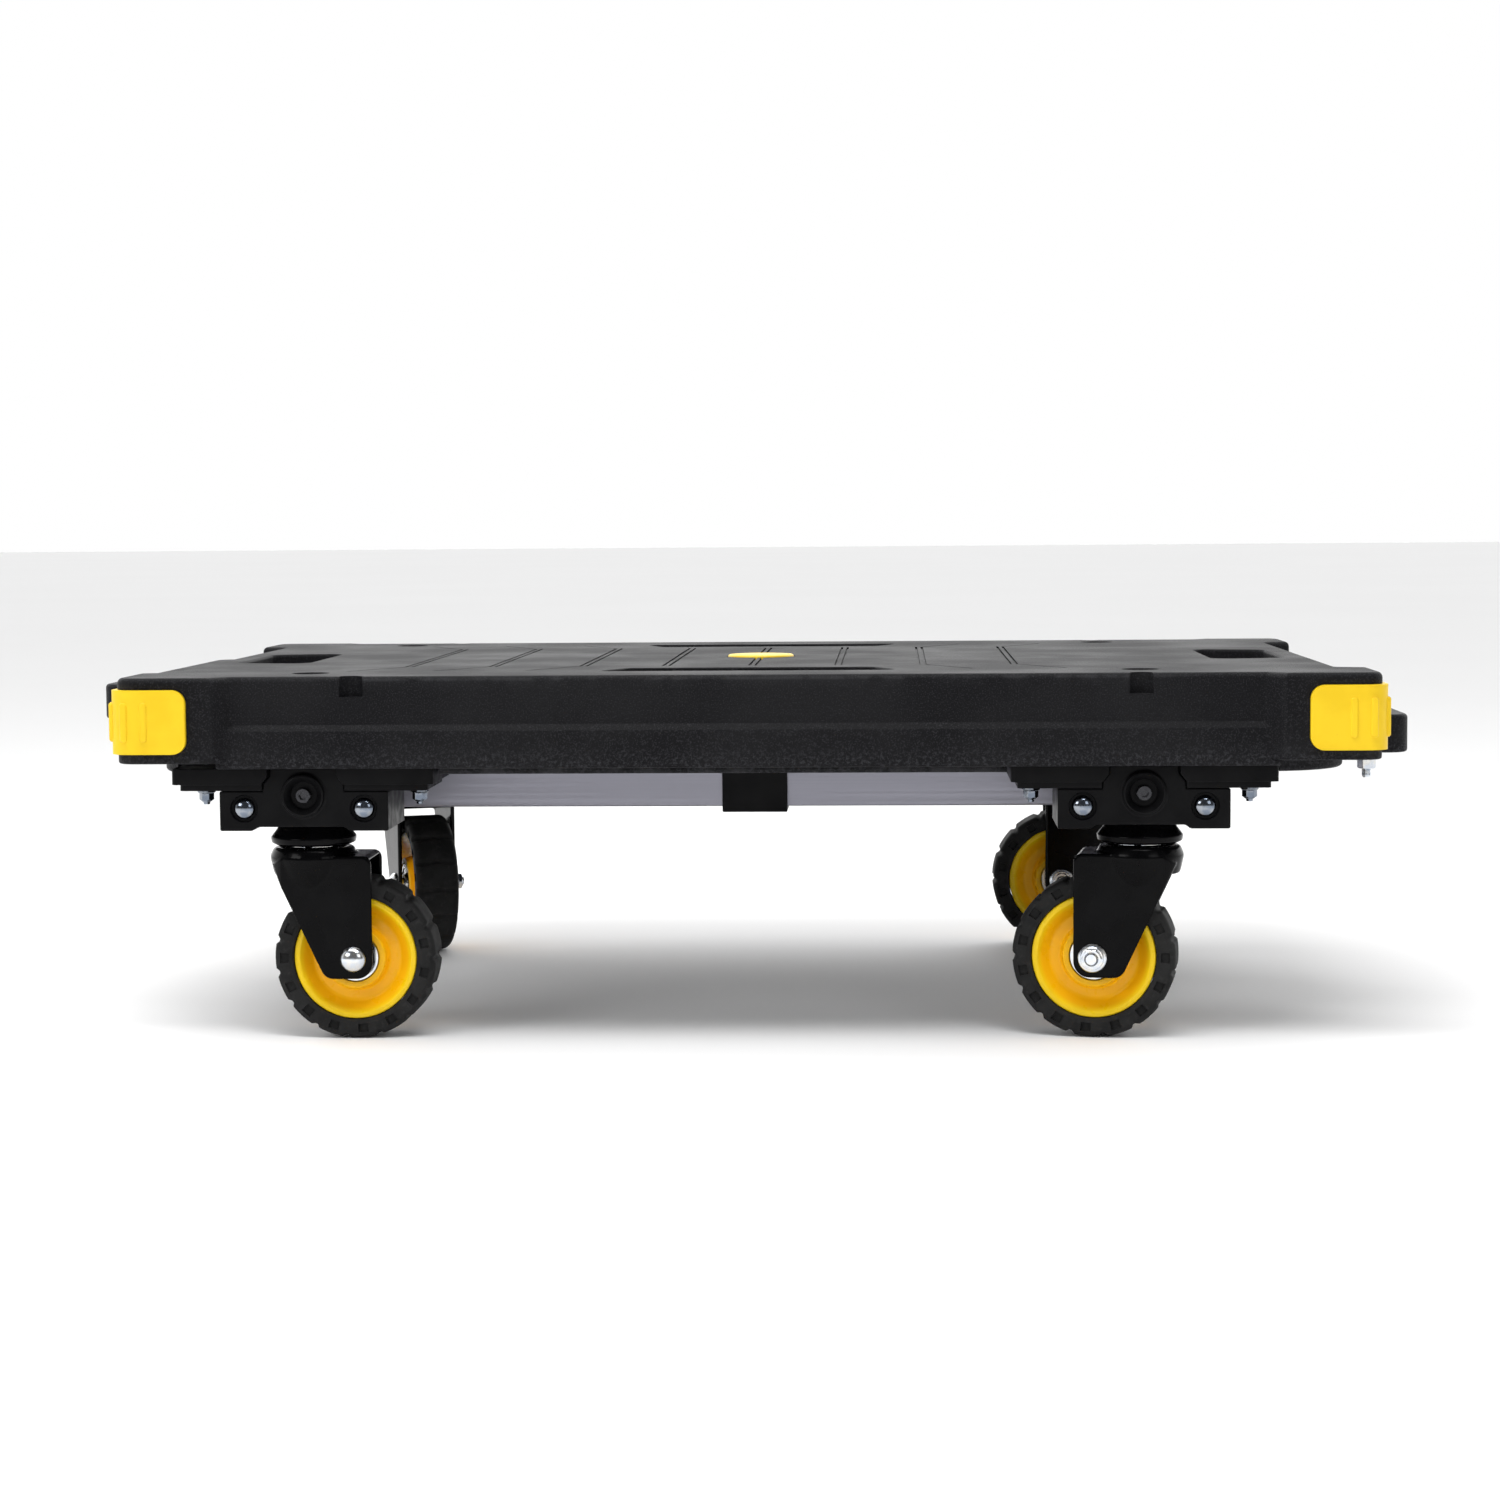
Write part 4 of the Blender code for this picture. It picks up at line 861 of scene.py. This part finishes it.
def make_link_bolts():
    head_top, end = link_high.z, link_low.z
    seat = head_top - 5 * MM
    radius, head = 3 * MM, link_high.x - LINK_X
    profile = [(0, head_top), (2.4 * MM, head_top - 0.25 * MM), (4.4 * MM, head_top - 1.2 * MM),
               (head - 0.3 * MM, head_top - 2.8 * MM),
               (head, head_top - 3.8 * MM), (head, seat), (radius, seat), (radius, LOWER_TONGUE[0])]
    profile += threaded(radius, end + 0.8 * MM, LOWER_TONGUE[0], 0.8 * MM)
    profile += [(radius - 0.8 * MM, end), (0, end)]
    bolt = shaded(turned("link_bolt", profile, 32, closed=False), 30)
    nut = hexagon("link_nut", 10 * MM, link_nut_low.z, link_nut_high.z - MM, 0.5 * MM)
    top = link_nut_high.z
    flange = turned("link_flange", [
        (0, top), (6.6 * MM, top), (7 * MM, top - 0.5 * MM), (6.8 * MM, top - 1.1 * MM),
        (5.2 * MM, top - 2.2 * MM), (0, top - 2.2 * MM)], closed=False)
    combine(nut, "UNION", flange)
    combine(nut, "DIFFERENCE", cylinder("link_thread", 3.3 * MM, 0, FAR))
    shaded(nut, 30)
    for side_name, y_sign in (("front", -1), ("rear", 1)):
        matrix = Matrix.Translation((LINK_X, y_sign * LINK_Y, 0))
        piece_from(f"tongue_bolt_{side_name}", bolt, "zinc_steel", "root",
                   [f"link_bolt_{side_name}"], matrix)
        piece_from(f"tongue_nut_{side_name}", nut, "zinc_steel", "root",
                   [f"link_nut_{side_name}"], matrix)


def make_rails():
    wall = 1.8 * MM
    middle = (rail_low.y + rail_high.y) / 2
    low, high = rail_low.z, rail_high.z
    half = (rail_high.y - rail_low.y) / 2
    outer = rectangle(-half, half, low, high, 1.2 * MM, segments=4)
    inner = rectangle(wall - half, half - wall, low + wall, high - wall, 0.5 * MM, segments=4)
    rail = prism("rail", outer, rail_low.x, rail_high.x, "YZ")
    combine(rail, "DIFFERENCE", prism("rail_bore", inner, rail_low.x - MM, rail_high.x + MM, "YZ"))
    shaded(rail)
    clip = shaded(clip_shape(high), 50)
    for side_name, sign in (("front", -1), ("rear", 1)):
        matrix = Matrix.Translation((0, sign * middle, 0))
        piece_from(f"rail_tube_{side_name}", rail, "aluminium", "root",
                   [f"rail_{side_name}"], matrix)
        piece_from(f"saddle_clip_{side_name}", clip, "bracket_black", "root",
                   [f"rail_clip_{side_name}"], matrix)


def clip_shape(top):
    """A saddle under the rail with a flange and a screw dimple on each side."""
    clip_half = (clip_high.y - clip_low.y) / 2
    wall = rail_low.z - clip_low.z
    half_inner = (rail_high.y - rail_low.y) / 2 + 0.3 * MM
    half_outer = half_inner + 3.3 * MM
    low = rail_low.z - 0.3 * MM
    outline = [(-clip_half, top), (-clip_half, top - 3.3 * MM), (-half_outer, top - 3.3 * MM),
               (-half_outer, clip_low.z),
               (half_outer, clip_low.z), (half_outer, top - 3.3 * MM), (clip_half, top - 3.3 * MM),
               (clip_half, top),
               (half_inner, top), (half_inner, low), (-half_inner, low), (-half_inner, top)]
    clip = prism("clip", outline, clip_low.x, clip_high.x, "YZ")
    eased(clip, min(0.9 * MM, wall / 4), 3)
    dimples = [shifted(turned("clip_dimple", [(0, top - 2 * MM), (2.5 * MM, top - 2 * MM), (3.6 * MM,
                                                                                            top - 6 * MM),
                                              (0, top - 6 * MM)], 32, closed=False), x, y)
               for x in (-12 * MM, 12 * MM) for y in (-(clip_half + half_outer) / 2,
                                                      (clip_half + half_outer) / 2)]
    return combine(clip, "DIFFERENCE", *dimples)


# ------------------------------------------- caster, fixed pieces, round a kingpin at the origin

PLATE_LIP = (159 * MM, 168.8 * MM)
PLATE_STEP_BOTTOM = 155 * MM
PLATE_BOLT_X = 66.5 * MM
BRACKET_HALF_LENGTH = 51.8 * MM
BRACKET_HALF_DEPTH = 31 * MM
BRACKET_FLOOR = 132.7 * MM
BRACKET_TABS = 130.3 * MM
BRACKET_WALL = 5 * MM
NECK_HALF_WIDTHS = (25 * MM, 21 * MM)
PIN_X = 36.7 * MM
PIN_Z = 144 * MM
PIN_RECESS = 2 * MM
RING_Z = 152 * MM
RING_PROUD = 3.5 * MM
FORK_HALF_WIDTH = 21.5 * MM
FORK_SHEET = 3 * MM
CROWN_TOP = 114 * MM
CROWN_RADIUS = 26.5 * MM
KINGPIN_RADIUS = 6 * MM


def neck_outline(margin=0.0):
    wide, narrow = NECK_HALF_WIDTHS[0] + margin, NECK_HALF_WIDTHS[1] + margin
    low, high = PLATE_STEP_BOTTOM - margin - 2 * MM, PLATE_LIP[1] + margin
    shoulder = PLATE_LIP[0] + 5 * MM
    return [(-wide, low), (wide, low), (wide, PLATE_LIP[0]), (narrow, shoulder), (narrow, high),
            (-narrow, high), (-narrow, shoulder), (-wide, PLATE_LIP[0])]


def plate_shape():
    length, depth, inset = 80 * MM, 36 * MM, 4 * MM
    plate = prism("plate_lip", rectangle(-length, length, -depth, depth, 3 * MM), *PLATE_LIP)
    step = prism("plate_step", rectangle(inset - length, length - inset, inset - depth, depth - inset,
                                         3 * MM),
                 PLATE_STEP_BOTTOM, PLATE_LIP[0] + MM)
    combine(plate, "UNION", step)
    gap = prism("neck_gap", neck_outline(0.3 * MM), -FAR, -25 * MM, "XZ")
    combine(plate, "DIFFERENCE", gap)
    return shaded(eased(plate, 0.9 * MM, 3), 50)


def plate_bolt_shape():
    """A bolt with a flanged nylon-insert nut below the plate; the shank's end shows its thread."""
    nut_low, end = PLATE_STEP_BOTTOM - 9.2 * MM, PLATE_STEP_BOTTOM - 10.9 * MM
    radius = 2.5 * MM
    profile = [(0, PLATE_LIP[1]), (radius, PLATE_LIP[1]), (radius, nut_low)]
    profile += threaded(radius, end + 0.6 * MM, nut_low, 0.7 * MM)
    profile += [(radius - 0.6 * MM, end), (0, end)]
    bolt = turned("plate_bolt", profile, 24, closed=False)
    nut = hexagon("plate_nut", 8 * MM, nut_low + 0.9 * MM, PLATE_STEP_BOTTOM + 0.5 * MM, 0.4 * MM)
    collar = turned("nut_collar", [(2 * MM, nut_low + 2 * MM), (3.6 * MM, nut_low + 2 * MM), (3.6 * MM,

        nut_low + 0.7 * MM),
                                   (3.0 * MM, nut_low), (2 * MM, nut_low)], 32)
    seat = PLATE_STEP_BOTTOM
    flange = turned("nut_flange", [(2 * MM, seat + 0.5 * MM), (5.5 * MM, seat + 0.5 * MM), (5.6 * MM,
                                                                                            seat - 3.2 * MM),
                                   (5 * MM, seat - 3.9 * MM), (4 * MM, seat - 4.4 * MM),
                                   (2 * MM, seat - 4.4 * MM)], 40)
    combine(nut, "UNION", collar, flange)
    return shaded(combine(bolt, "UNION", nut), 30)


def bracket_shape():
    """A box with end tabs, a neck, pin recesses and a raised ring with a cone in it. Outer side at -Y."""
    length, depth, floor = BRACKET_HALF_LENGTH, BRACKET_HALF_DEPTH, BRACKET_FLOOR
    top = PLATE_STEP_BOTTOM - 0.3 * MM
    outer_tab, inner_tab, slant = 20 * MM, 24 * MM, 3 * MM
    side = [(-length, BRACKET_TABS), (outer_tab - length, BRACKET_TABS), (outer_tab - length + slant, floor),
            (length - inner_tab - slant, floor), (length - inner_tab, BRACKET_TABS), (length, BRACKET_TABS),
            (length, top), (-length, top)]
    body = prism("bracket_body", side, -depth, depth, "XZ")
    neck = prism("bracket_neck", neck_outline(), -depth, BRACKET_WALL - depth, "XZ")
    combine(body, "UNION", neck)
    eased(body, 1.1 * MM, 3)
    boss = shifted(along_y(turned("ring_boss", [
        (0, RING_PROUD), (11.9 * MM, RING_PROUD), (12.7 * MM, RING_PROUD - 0.4 * MM),
                                                (13 * MM, RING_PROUD - 1.1 * MM),
        (13.2 * MM, 1.0 * MM), (13.9 * MM, 0.3 * MM), (15.2 * MM, -0.1 * MM), (15.2 * MM, -3 * MM),
                                                (0, -3 * MM)],
        64, closed=False)), y=-depth, z=RING_Z)
    combine(body, "UNION", boss)
    cuts = [shifted(along_y(turned("ring_cut", [
        (0, RING_PROUD + MM), (12.2 * MM, RING_PROUD + MM), (11.4 * MM, RING_PROUD - 0.4 * MM),
        (8.3 * MM, -0.5 * MM), (8 * MM, -2 * MM), (0, -2 * MM)], 64, closed=False)), y=-depth, z=RING_Z)]
    for sign in (-1, 1):
        for face in (0, math.pi):
            seat = depth - (PIN_RECESS if not face else 1 * MM)
            recess = along_y(turned("pin_recess", [
                (0, depth + MM), (9.4 * MM, depth + MM), (8.6 * MM, depth - 0.1 * MM),
                                                   (8 * MM, depth - 0.8 * MM),
                (7.8 * MM, seat), (0, seat)], 48, closed=False))
            moved(recess, Matrix.Rotation(face, 4, "Z"))
            cuts.append(shifted(recess, x=sign * PIN_X, z=PIN_Z))
    cuts.append(cylinder("kingpin_hole", KINGPIN_RADIUS + 0.3 * MM, 0, floor + 2 * WALL))
    return shaded(combine(body, "DIFFERENCE", *cuts), 35)


def pin_head_shape():
    """The riveted pins' domed heads, on both faces of the bracket, made as one shape per pin."""
    dome = [(0, 4.0), (1.6, 3.95), (3.2, 3.6), (4.7, 2.9), (5.8, 1.9), (6.4, 0.8), (6.5, 0.0), (6.5, -1.5),
            (0, -1.5)]
    seat = BRACKET_HALF_DEPTH - PIN_RECESS
    head = along_y(turned("pin_head", [(r * MM, z * MM + seat) for r, z in dome], 40, closed=False))
    other = moved(along_y(turned("pin_tail", [(r * MM, z * MM + seat) for r, z in dome], 40, closed=False)),
                  Matrix.Rotation(math.pi, 4, "Z"))
    shank = along_y(cylinder("pin_shank", 3 * MM, -seat, seat, 24))
    return shaded(combine(shank, "UNION", head, other), 35)


def bracket_bolt_shape():
    head = hexagon("bracket_bolt", 8.4 * MM, -2.4 * MM, 2.6 * MM, 0.5 * MM)
    combine(head, "DIFFERENCE", hexagon("bolt_socket", 4.6 * MM, 0.2 * MM, 6 * MM))
    return shaded(shifted(along_y(head), y=-BRACKET_HALF_DEPTH, z=RING_Z), 30)


def race_shape():
    """The pressed upper race: a rounded ring that flares out and back over the balls."""
    hole = KINGPIN_RADIUS + 0.3 * MM
    top = BRACKET_FLOOR - 0.3 * MM
    corners = [(hole, top, 0), (20.8 * MM, top, 1.2 * MM), (22.6 * MM, 128.9 * MM, 2 * MM),
               (26.4 * MM, 124.2 * MM, 1.8 * MM),
               (25.8 * MM, 120.8 * MM, 1.5 * MM), (22.8 * MM, 119.4 * MM, 0.6 * MM),
               (21.8 * MM, 121.2 * MM, 0),
               (14 * MM, 122.1 * MM, 0), (12 * MM, 126 * MM, 0), (hole, 126 * MM, 0)]
    return shaded(turned("race", rounded(corners, 5), 72), 40)


# ------------------------------------------------- caster, moving pieces; the wheel trails to +X

def fork_shape():
    """A pressed fork: a dished round crown that runs into two tapered legs."""
    wide = FORK_HALF_WIDTH
    leg_top = CROWN_TOP - 0.4 * MM
    leg = rounded([
        (-23.4 * MM, 108 * MM, 0), (9.5 * MM, 37.6 * MM, 8 * MM),
        (38.8 * MM, 37.6 * MM, 10 * MM), (38.8 * MM, leg_top, 5 * MM), (-14 * MM, leg_top, 0)], segments=8)
    fork = prism("fork", leg, -wide, wide, "XZ")
    plan = [(FAR, -wide), (FAR, wide)]
    steps = 16
    for step in range(steps + 1):
        angle = math.radians(126 + 108 * step / steps)
        plan.append((CROWN_RADIUS * math.cos(angle) - MM, CROWN_RADIUS * math.sin(angle)))
    combine(fork, "INTERSECT", prism("fork_plan", plan, 0, FAR))
    crown = turned("fork_crown", rounded([
        (0, CROWN_TOP, 0), (12 * MM, CROWN_TOP, 1 * MM), (13.5 * MM, 116.2 * MM, 1 * MM),
                                          (19 * MM, 116.2 * MM, 1 * MM),
        (21.5 * MM, 118.2 * MM, 0.6 * MM), (24.6 * MM, 117.6 * MM, 2.4 * MM), (27 * MM, 112 * MM, 6 * MM),
        (25 * MM, 103 * MM, 8 * MM), (21.6 * MM, 94 * MM, 8 * MM), (20 * MM, 86 * MM, 0), (0, 86 * MM, 0)],
                                         6),
        72, closed=False)
    combine(fork, "UNION", crown)
    inside = wide - FORK_SHEET
    under = CROWN_TOP - FORK_SHEET
    wheel_space = box("wheel_space", (-FAR, FAR), (-inside, inside), (0, 100.8 * MM))
    crown_space = prism("crown_space", rectangle(-17 * MM, FAR, -inside, inside, 4 * MM), 100 * MM, under)
    hole = cylinder("kingpin_clearance", KINGPIN_RADIUS + 0.6 * MM, 0, FAR)
    axle_hole = along_y(cylinder("axle_hole", 4.3 * MM, -FAR, FAR))
    shifted(axle_hole, x=TRAIL, z=WHEEL_RADIUS)
    combine(fork, "DIFFERENCE", wheel_space, crown_space, hole, axle_hole)
    return shaded(flowed(fork, 0.75 * MM, 5), 180)


def axle_bolt_shape():
    """The axle with its domed head on the -Y side."""
    seat = FORK_HALF_WIDTH + 0.3 * MM
    dome = [(0, 4.6), (2.2, 4.5), (4.2, 4.0), (6.0, 3.0), (7.3, 1.7), (7.9, 0.7), (8.0, 0.2), (7.8, 0.0)]
    profile = [(r * MM, seat + z * MM) for r, z in dome]
    end = -seat - 8 * MM
    profile += [(4 * MM, seat), (4 * MM, -seat - 5 * MM)]
    profile += threaded(4 * MM, end + 0.7 * MM, -seat - 5 * MM, 0.8 * MM)
    profile += [(3.2 * MM, end), (0, end)]
    return shaded(along_y(turned("axle", profile, 48, closed=False)), 30)


def axle_nut_shape():
    """A flanged nut with a small hexagon, on the +Y side."""
    seat = -FORK_HALF_WIDTH - 0.3 * MM
    thread = 4.3 * MM
    flange = turned("axle_flange", [
        (0, seat), (8.5 * MM, seat), (8.8 * MM, seat - 0.4 * MM), (8.8 * MM, seat - 1.4 * MM),
        (8.3 * MM, seat - 2.0 * MM), (7.2 * MM, seat - 2.2 * MM), (6.8 * MM, seat - 3.4 * MM),
        (0, seat - 3.4 * MM)], 64, closed=False)
    nut = hexagon("axle_nut", 11 * MM, seat - 6.4 * MM, seat - 2 * MM, 0.6 * MM)
    combine(nut, "UNION", flange)
    combine(nut, "DIFFERENCE", cylinder("axle_thread", thread, -FAR, FAR))
    return shaded(along_y(nut), 30)


def hub_shape():
    """A dished hub with soft edges, and a seat for a bearing at each end."""
    seat = 15 * MM
    half = [(38 * MM, 13.2 * MM, 1.0 * MM), (34.6 * MM, 13.2 * MM, 1.6 * MM), (27.5 * MM, 6 * MM, 4 * MM),
            (20.4 * MM, 6 * MM, 2.5 * MM), (18.8 * MM, 14.5 * MM, 1.2 * MM), (seat, 14.5 * MM, 0.4 * MM),
            (seat, 6.5 * MM, 0), (9 * MM, 6.5 * MM, 0)]
    lower = [(radius, -height, soft) for radius, height, soft in half]
    return shaded(along_y(turned("hub", rounded(lower + list(reversed(half)), 6), 96)), 40)


LUGS = 15
LUG_STATIONS = (0.0, 0.07, 0.10, 0.20, 0.28, 0.33, 0.35, 0.5, 0.65, 0.67, 0.74, 0.82, 0.90, 0.93)


def step_between(value, start, rise, fall, end):
    """0 outside start to end, 1 between rise and fall, straight in between."""
    if value <= start or value >= end:
        return 0.0
    if value < rise:
        return (value - start) / (rise - start)
    if value > fall:
        return (end - value) / (end - fall)
    return 1.0


def tyre_shape():
    """A tyre with cross grooves between its blocks and a square pocket in each block's side."""
    half = [(38.3, 13.9, 0, 0), (38.9, 14.9, 0, 0), (41.1, 15.6, 0, 0), (41.4, 15.65, 1, 0),
            (46.3, 15.85, 1, 0),
            (46.6, 15.85, 0, 0.2), (47.4, 15.7, 0, 0.4), (48.6, 15.0, 0, 0.8), (49.6, 13.6, 0, 1),
            (50.0, 11.8, 0, 1),
            (50.0, 6.0, 0, 1), (50.0, 2.5, 0, 1)]
    mirrored = [(radius, -side, pocket, groove) for radius, side, pocket, groove in half]
    section = mirrored + [(50.0, 0.0, 0, 1)] + list(reversed(half)) + [(38.3, 0.0, 0, 0)]
    pocket_depth, groove_depth = 1.8, 1.7
    shape = bmesh.new()
    rings = []
    for lug in range(LUGS):
        for station in LUG_STATIONS:
            ring = []
            for radius, side, pocket, groove in section:
                lean = 0.06 * abs(side) / 16
                across = (station + lean) % 1.0
                cut = step_between(across, -0.2, -0.1, 0.07, 0.13) + step_between(across, 0.90, 0.96, 1.2,
                                                                                  1.3)
                hollow = step_between(station, 0.33, 0.35, 0.65, 0.67)
                reach = (radius - groove * cut * groove_depth) * MM
                away = (side - math.copysign(pocket * hollow * pocket_depth, side)) * MM
                angle = 2 * math.pi * (lug + station) / LUGS
                ring.append(shape.verts.new((reach * math.cos(angle), away, reach * math.sin(angle))))
            rings.append(ring)
    for ring, following in zip(rings, rings[1:] + rings[:1]):
        for index, vertex in enumerate(ring):
            after = (index + 1) % len(ring)
            shape.faces.new((vertex, ring[after], following[after], following[index]))
    return shaded(new_shape("tyre", shape), 30)


def bearing_shape():
    """One bearing: outer ring, dark seal and inner ring, facing -Y."""
    low, face = 6.8 * MM, 14.2 * MM
    profile = [(5 * MM, face + 1.2 * MM), (7.2 * MM, face + 1.2 * MM), (7.6 * MM, face - 0.1 * MM),
               (8.1 * MM, face - 0.6 * MM),
               (11.6 * MM, face - 0.6 * MM), (12.0 * MM, face), (14.2 * MM, face),
               (14.7 * MM, face - 0.5 * MM), (14.7 * MM, low), (5 * MM, low)]
    return shaded(along_y(turned("bearing", profile, 64)), 30)


def make_casters():
    fixed = (
        ("plate", plate_shape(), "bracket_black", ("mount_plate",)),
        ("bracket", bracket_shape(), "bracket_black", ("caster_bracket",)),
        ("race", race_shape(), "gloss_black", ("upper_race",)),
    )
    bolt, pins, screw = plate_bolt_shape(), pin_head_shape(), bracket_bolt_shape()
    moving = (("pressed_fork", fork_shape(), "gloss_black", ("fork",)),)
    on_axle = (("axle", axle_bolt_shape(), "zinc_steel", ("axle_bolt",)),
               ("flange_nut", axle_nut_shape(), "zinc_steel", ("axle_nut",)))
    spinning = (("hub", hub_shape(), "hub_yellow", ("wheel_hub",)),
                ("lug_tyre", tyre_shape(), "tyre_black", ("tyre",)))
    bearing = bearing_shape()
    for place in PLACES:
        pin, axle = KINGPINS[place], AXLES[place]
        seat = Matrix.Translation((pin.x, pin.y, 0)) @ Matrix.Rotation(0 if pin.y < 0 else math.pi, 4, "Z")
        trail = math.atan2(axle.y - pin.y, axle.x - pin.x)
        swivel = Matrix.Translation((pin.x, pin.y, 0)) @ Matrix.Rotation(trail, 4, "Z")
        wheel = Matrix.Translation(axle) @ Matrix.Rotation(trail, 4, "Z")
        for group, matrix, body in ((fixed, seat, "root"), (moving, swivel, f"swivel_{place}"),
                                    (on_axle, wheel, f"swivel_{place}"), (spinning, wheel, f"wheel_{place}")):
            for name, shape, material, nodes in group:
                piece_from(f"{name}_{place}", shape, material, body,
                           [f"{node}_{place}" for node in nodes], matrix)
        for side_name, sign in (("a", -1), ("b", 1)):
            piece_from(f"plate_bolt_{side_name}_{place}", bolt, "zinc_steel", "root",
                       [f"mount_plate_{place}"],
                       seat @ Matrix.Translation((sign * PLATE_BOLT_X, 0, 0)), "dark_steel")
            piece_from(f"bracket_pin_{side_name}_{place}", pins, "zinc_steel", "root",
                       [f"caster_bracket_{place}"],
                       seat @ Matrix.Translation((sign * PIN_X, 0, PIN_Z)), "dark_steel")
            turn = Matrix.Rotation(0 if sign < 0 else math.pi, 4, "Z")
            piece_from(f"bearing_{side_name}_{place}", bearing, "zinc_steel", f"wheel_{place}",
                       [f"wheel_bearings_{place}"], wheel @ turn)
        piece_from(f"bracket_screw_{place}", screw, "bracket_black", "root",
                   [f"caster_bracket_{place}"], seat, "black_oxide")
        for name in ("kingpin", "ball_cage"):
            node = frame["nodes"][f"{name}_{place}"]
            node.data.materials.clear()
            node.data.materials.append(MATERIALS["zinc_steel"])


# ---------------------------------------------------------------- studio

def make_studio():
    floor_shape = bmesh.new()
    bmesh.ops.create_grid(floor_shape, x_segments=1, y_segments=1, size=30)
    floor = new_shape("floor", floor_shape)
    floor.name = "studio_floor"
    paint = Surface("pale_floor", (0.90, 0.90, 0.90), 0.7, specular=0.2)
    paint.colour(paint.blended(paint.noise(0.8, 3.0), (0.89, 0.89, 0.89), (0.92, 0.92, 0.92)))
    floor.data.materials.append(paint.material)

    world = bpy.data.worlds.new("studio")
    bpy.context.scene.world = world
    world.use_nodes = True
    tree = world.node_tree
    background = tree.nodes["Background"]
    background.inputs["Color"].default_value = (1, 1, 1, 1)
    place = tree.nodes.new("ShaderNodeTexCoord")
    split = tree.nodes.new("ShaderNodeSeparateXYZ")
    tree.links.new(place.outputs["Generated"], split.inputs[0])
    ramp = tree.nodes.new("ShaderNodeMapRange")
    ramp.inputs["From Min"].default_value = WORLD_TURN[0]
    ramp.inputs["From Max"].default_value = WORLD_TURN[1]
    ramp.inputs["To Min"].default_value = WORLD_FRONT
    ramp.inputs["To Max"].default_value = WORLD_BACK
    tree.links.new(split.outputs["Y"], ramp.inputs["Value"])
    path = tree.nodes.new("ShaderNodeLightPath")
    mix = tree.nodes.new("ShaderNodeMix")
    tree.links.new(path.outputs["Is Camera Ray"], mix.inputs[0])
    tree.links.new(ramp.outputs["Result"], mix.inputs[2])
    mix.inputs[3].default_value = 1.0
    tree.links.new(mix.outputs[0], background.inputs["Strength"])

    for name, place, size, power in LIGHTS:
        lamp = bpy.data.lights.new(name, "AREA")
        lamp.shape = "RECTANGLE"
        lamp.size, lamp.size_y = size
        lamp.energy = power
        holder = bpy.data.objects.new(name, lamp)
        bpy.context.scene.collection.objects.link(holder)
        holder.location = place
        aim = Vector((0, 0, 0.15)) - Vector(place)
        holder.rotation_euler = aim.to_track_quat("-Z", "Y").to_euler()


WORLD_FRONT = 0.12
WORLD_BACK = 1.8
WORLD_TURN = (-0.4, 0.6)
LIGHTS = (
    ("key_softbox", (-2.0, -2.0, 1.4), (1.2, 0.8), 17),
    ("fill_softbox", (1.6, -2.2, 1.2), (1.0, 1.0), 7),
    ("overhead_strip", (-0.3, -0.8, 1.9), (2.4, 0.5), 35),
    ("top_softbox", (0.0, 0.3, 2.2), (2.2, 1.6), 8),
)

CAMERA_PLACE = (0.0899, -2.0523, 0.3192)
CAMERA_YAW = 2.73
CAMERA_PITCH = 4.4
CAMERA_ROLL = -0.43
CAMERA_LENS = 72.7


def make_camera():
    data = bpy.data.cameras.new("photo_camera")
    data.lens = CAMERA_LENS
    data.sensor_width = 36
    camera = bpy.data.objects.new("photo_camera", data)
    bpy.context.scene.collection.objects.link(camera)
    turn = (Matrix.Rotation(math.radians(CAMERA_YAW), 4,
                            "Z") @ Matrix.Rotation(math.radians(90 - CAMERA_PITCH), 4, "X")
            @ Matrix.Rotation(math.radians(CAMERA_ROLL), 4, "Z"))
    camera.matrix_world = Matrix.Translation(CAMERA_PLACE) @ turn
    bpy.context.scene.camera = camera


make_deck()
make_bumpers()
make_pan()
make_badge()
make_link_bolts()
make_rails()
make_casters()
for leftover in [o for o in bpy.data.objects if o.name.startswith("shape_")]:
    bpy.data.objects.remove(leftover)
make_studio()
make_camera()
bpy.context.scene.view_settings.view_transform = "Standard"
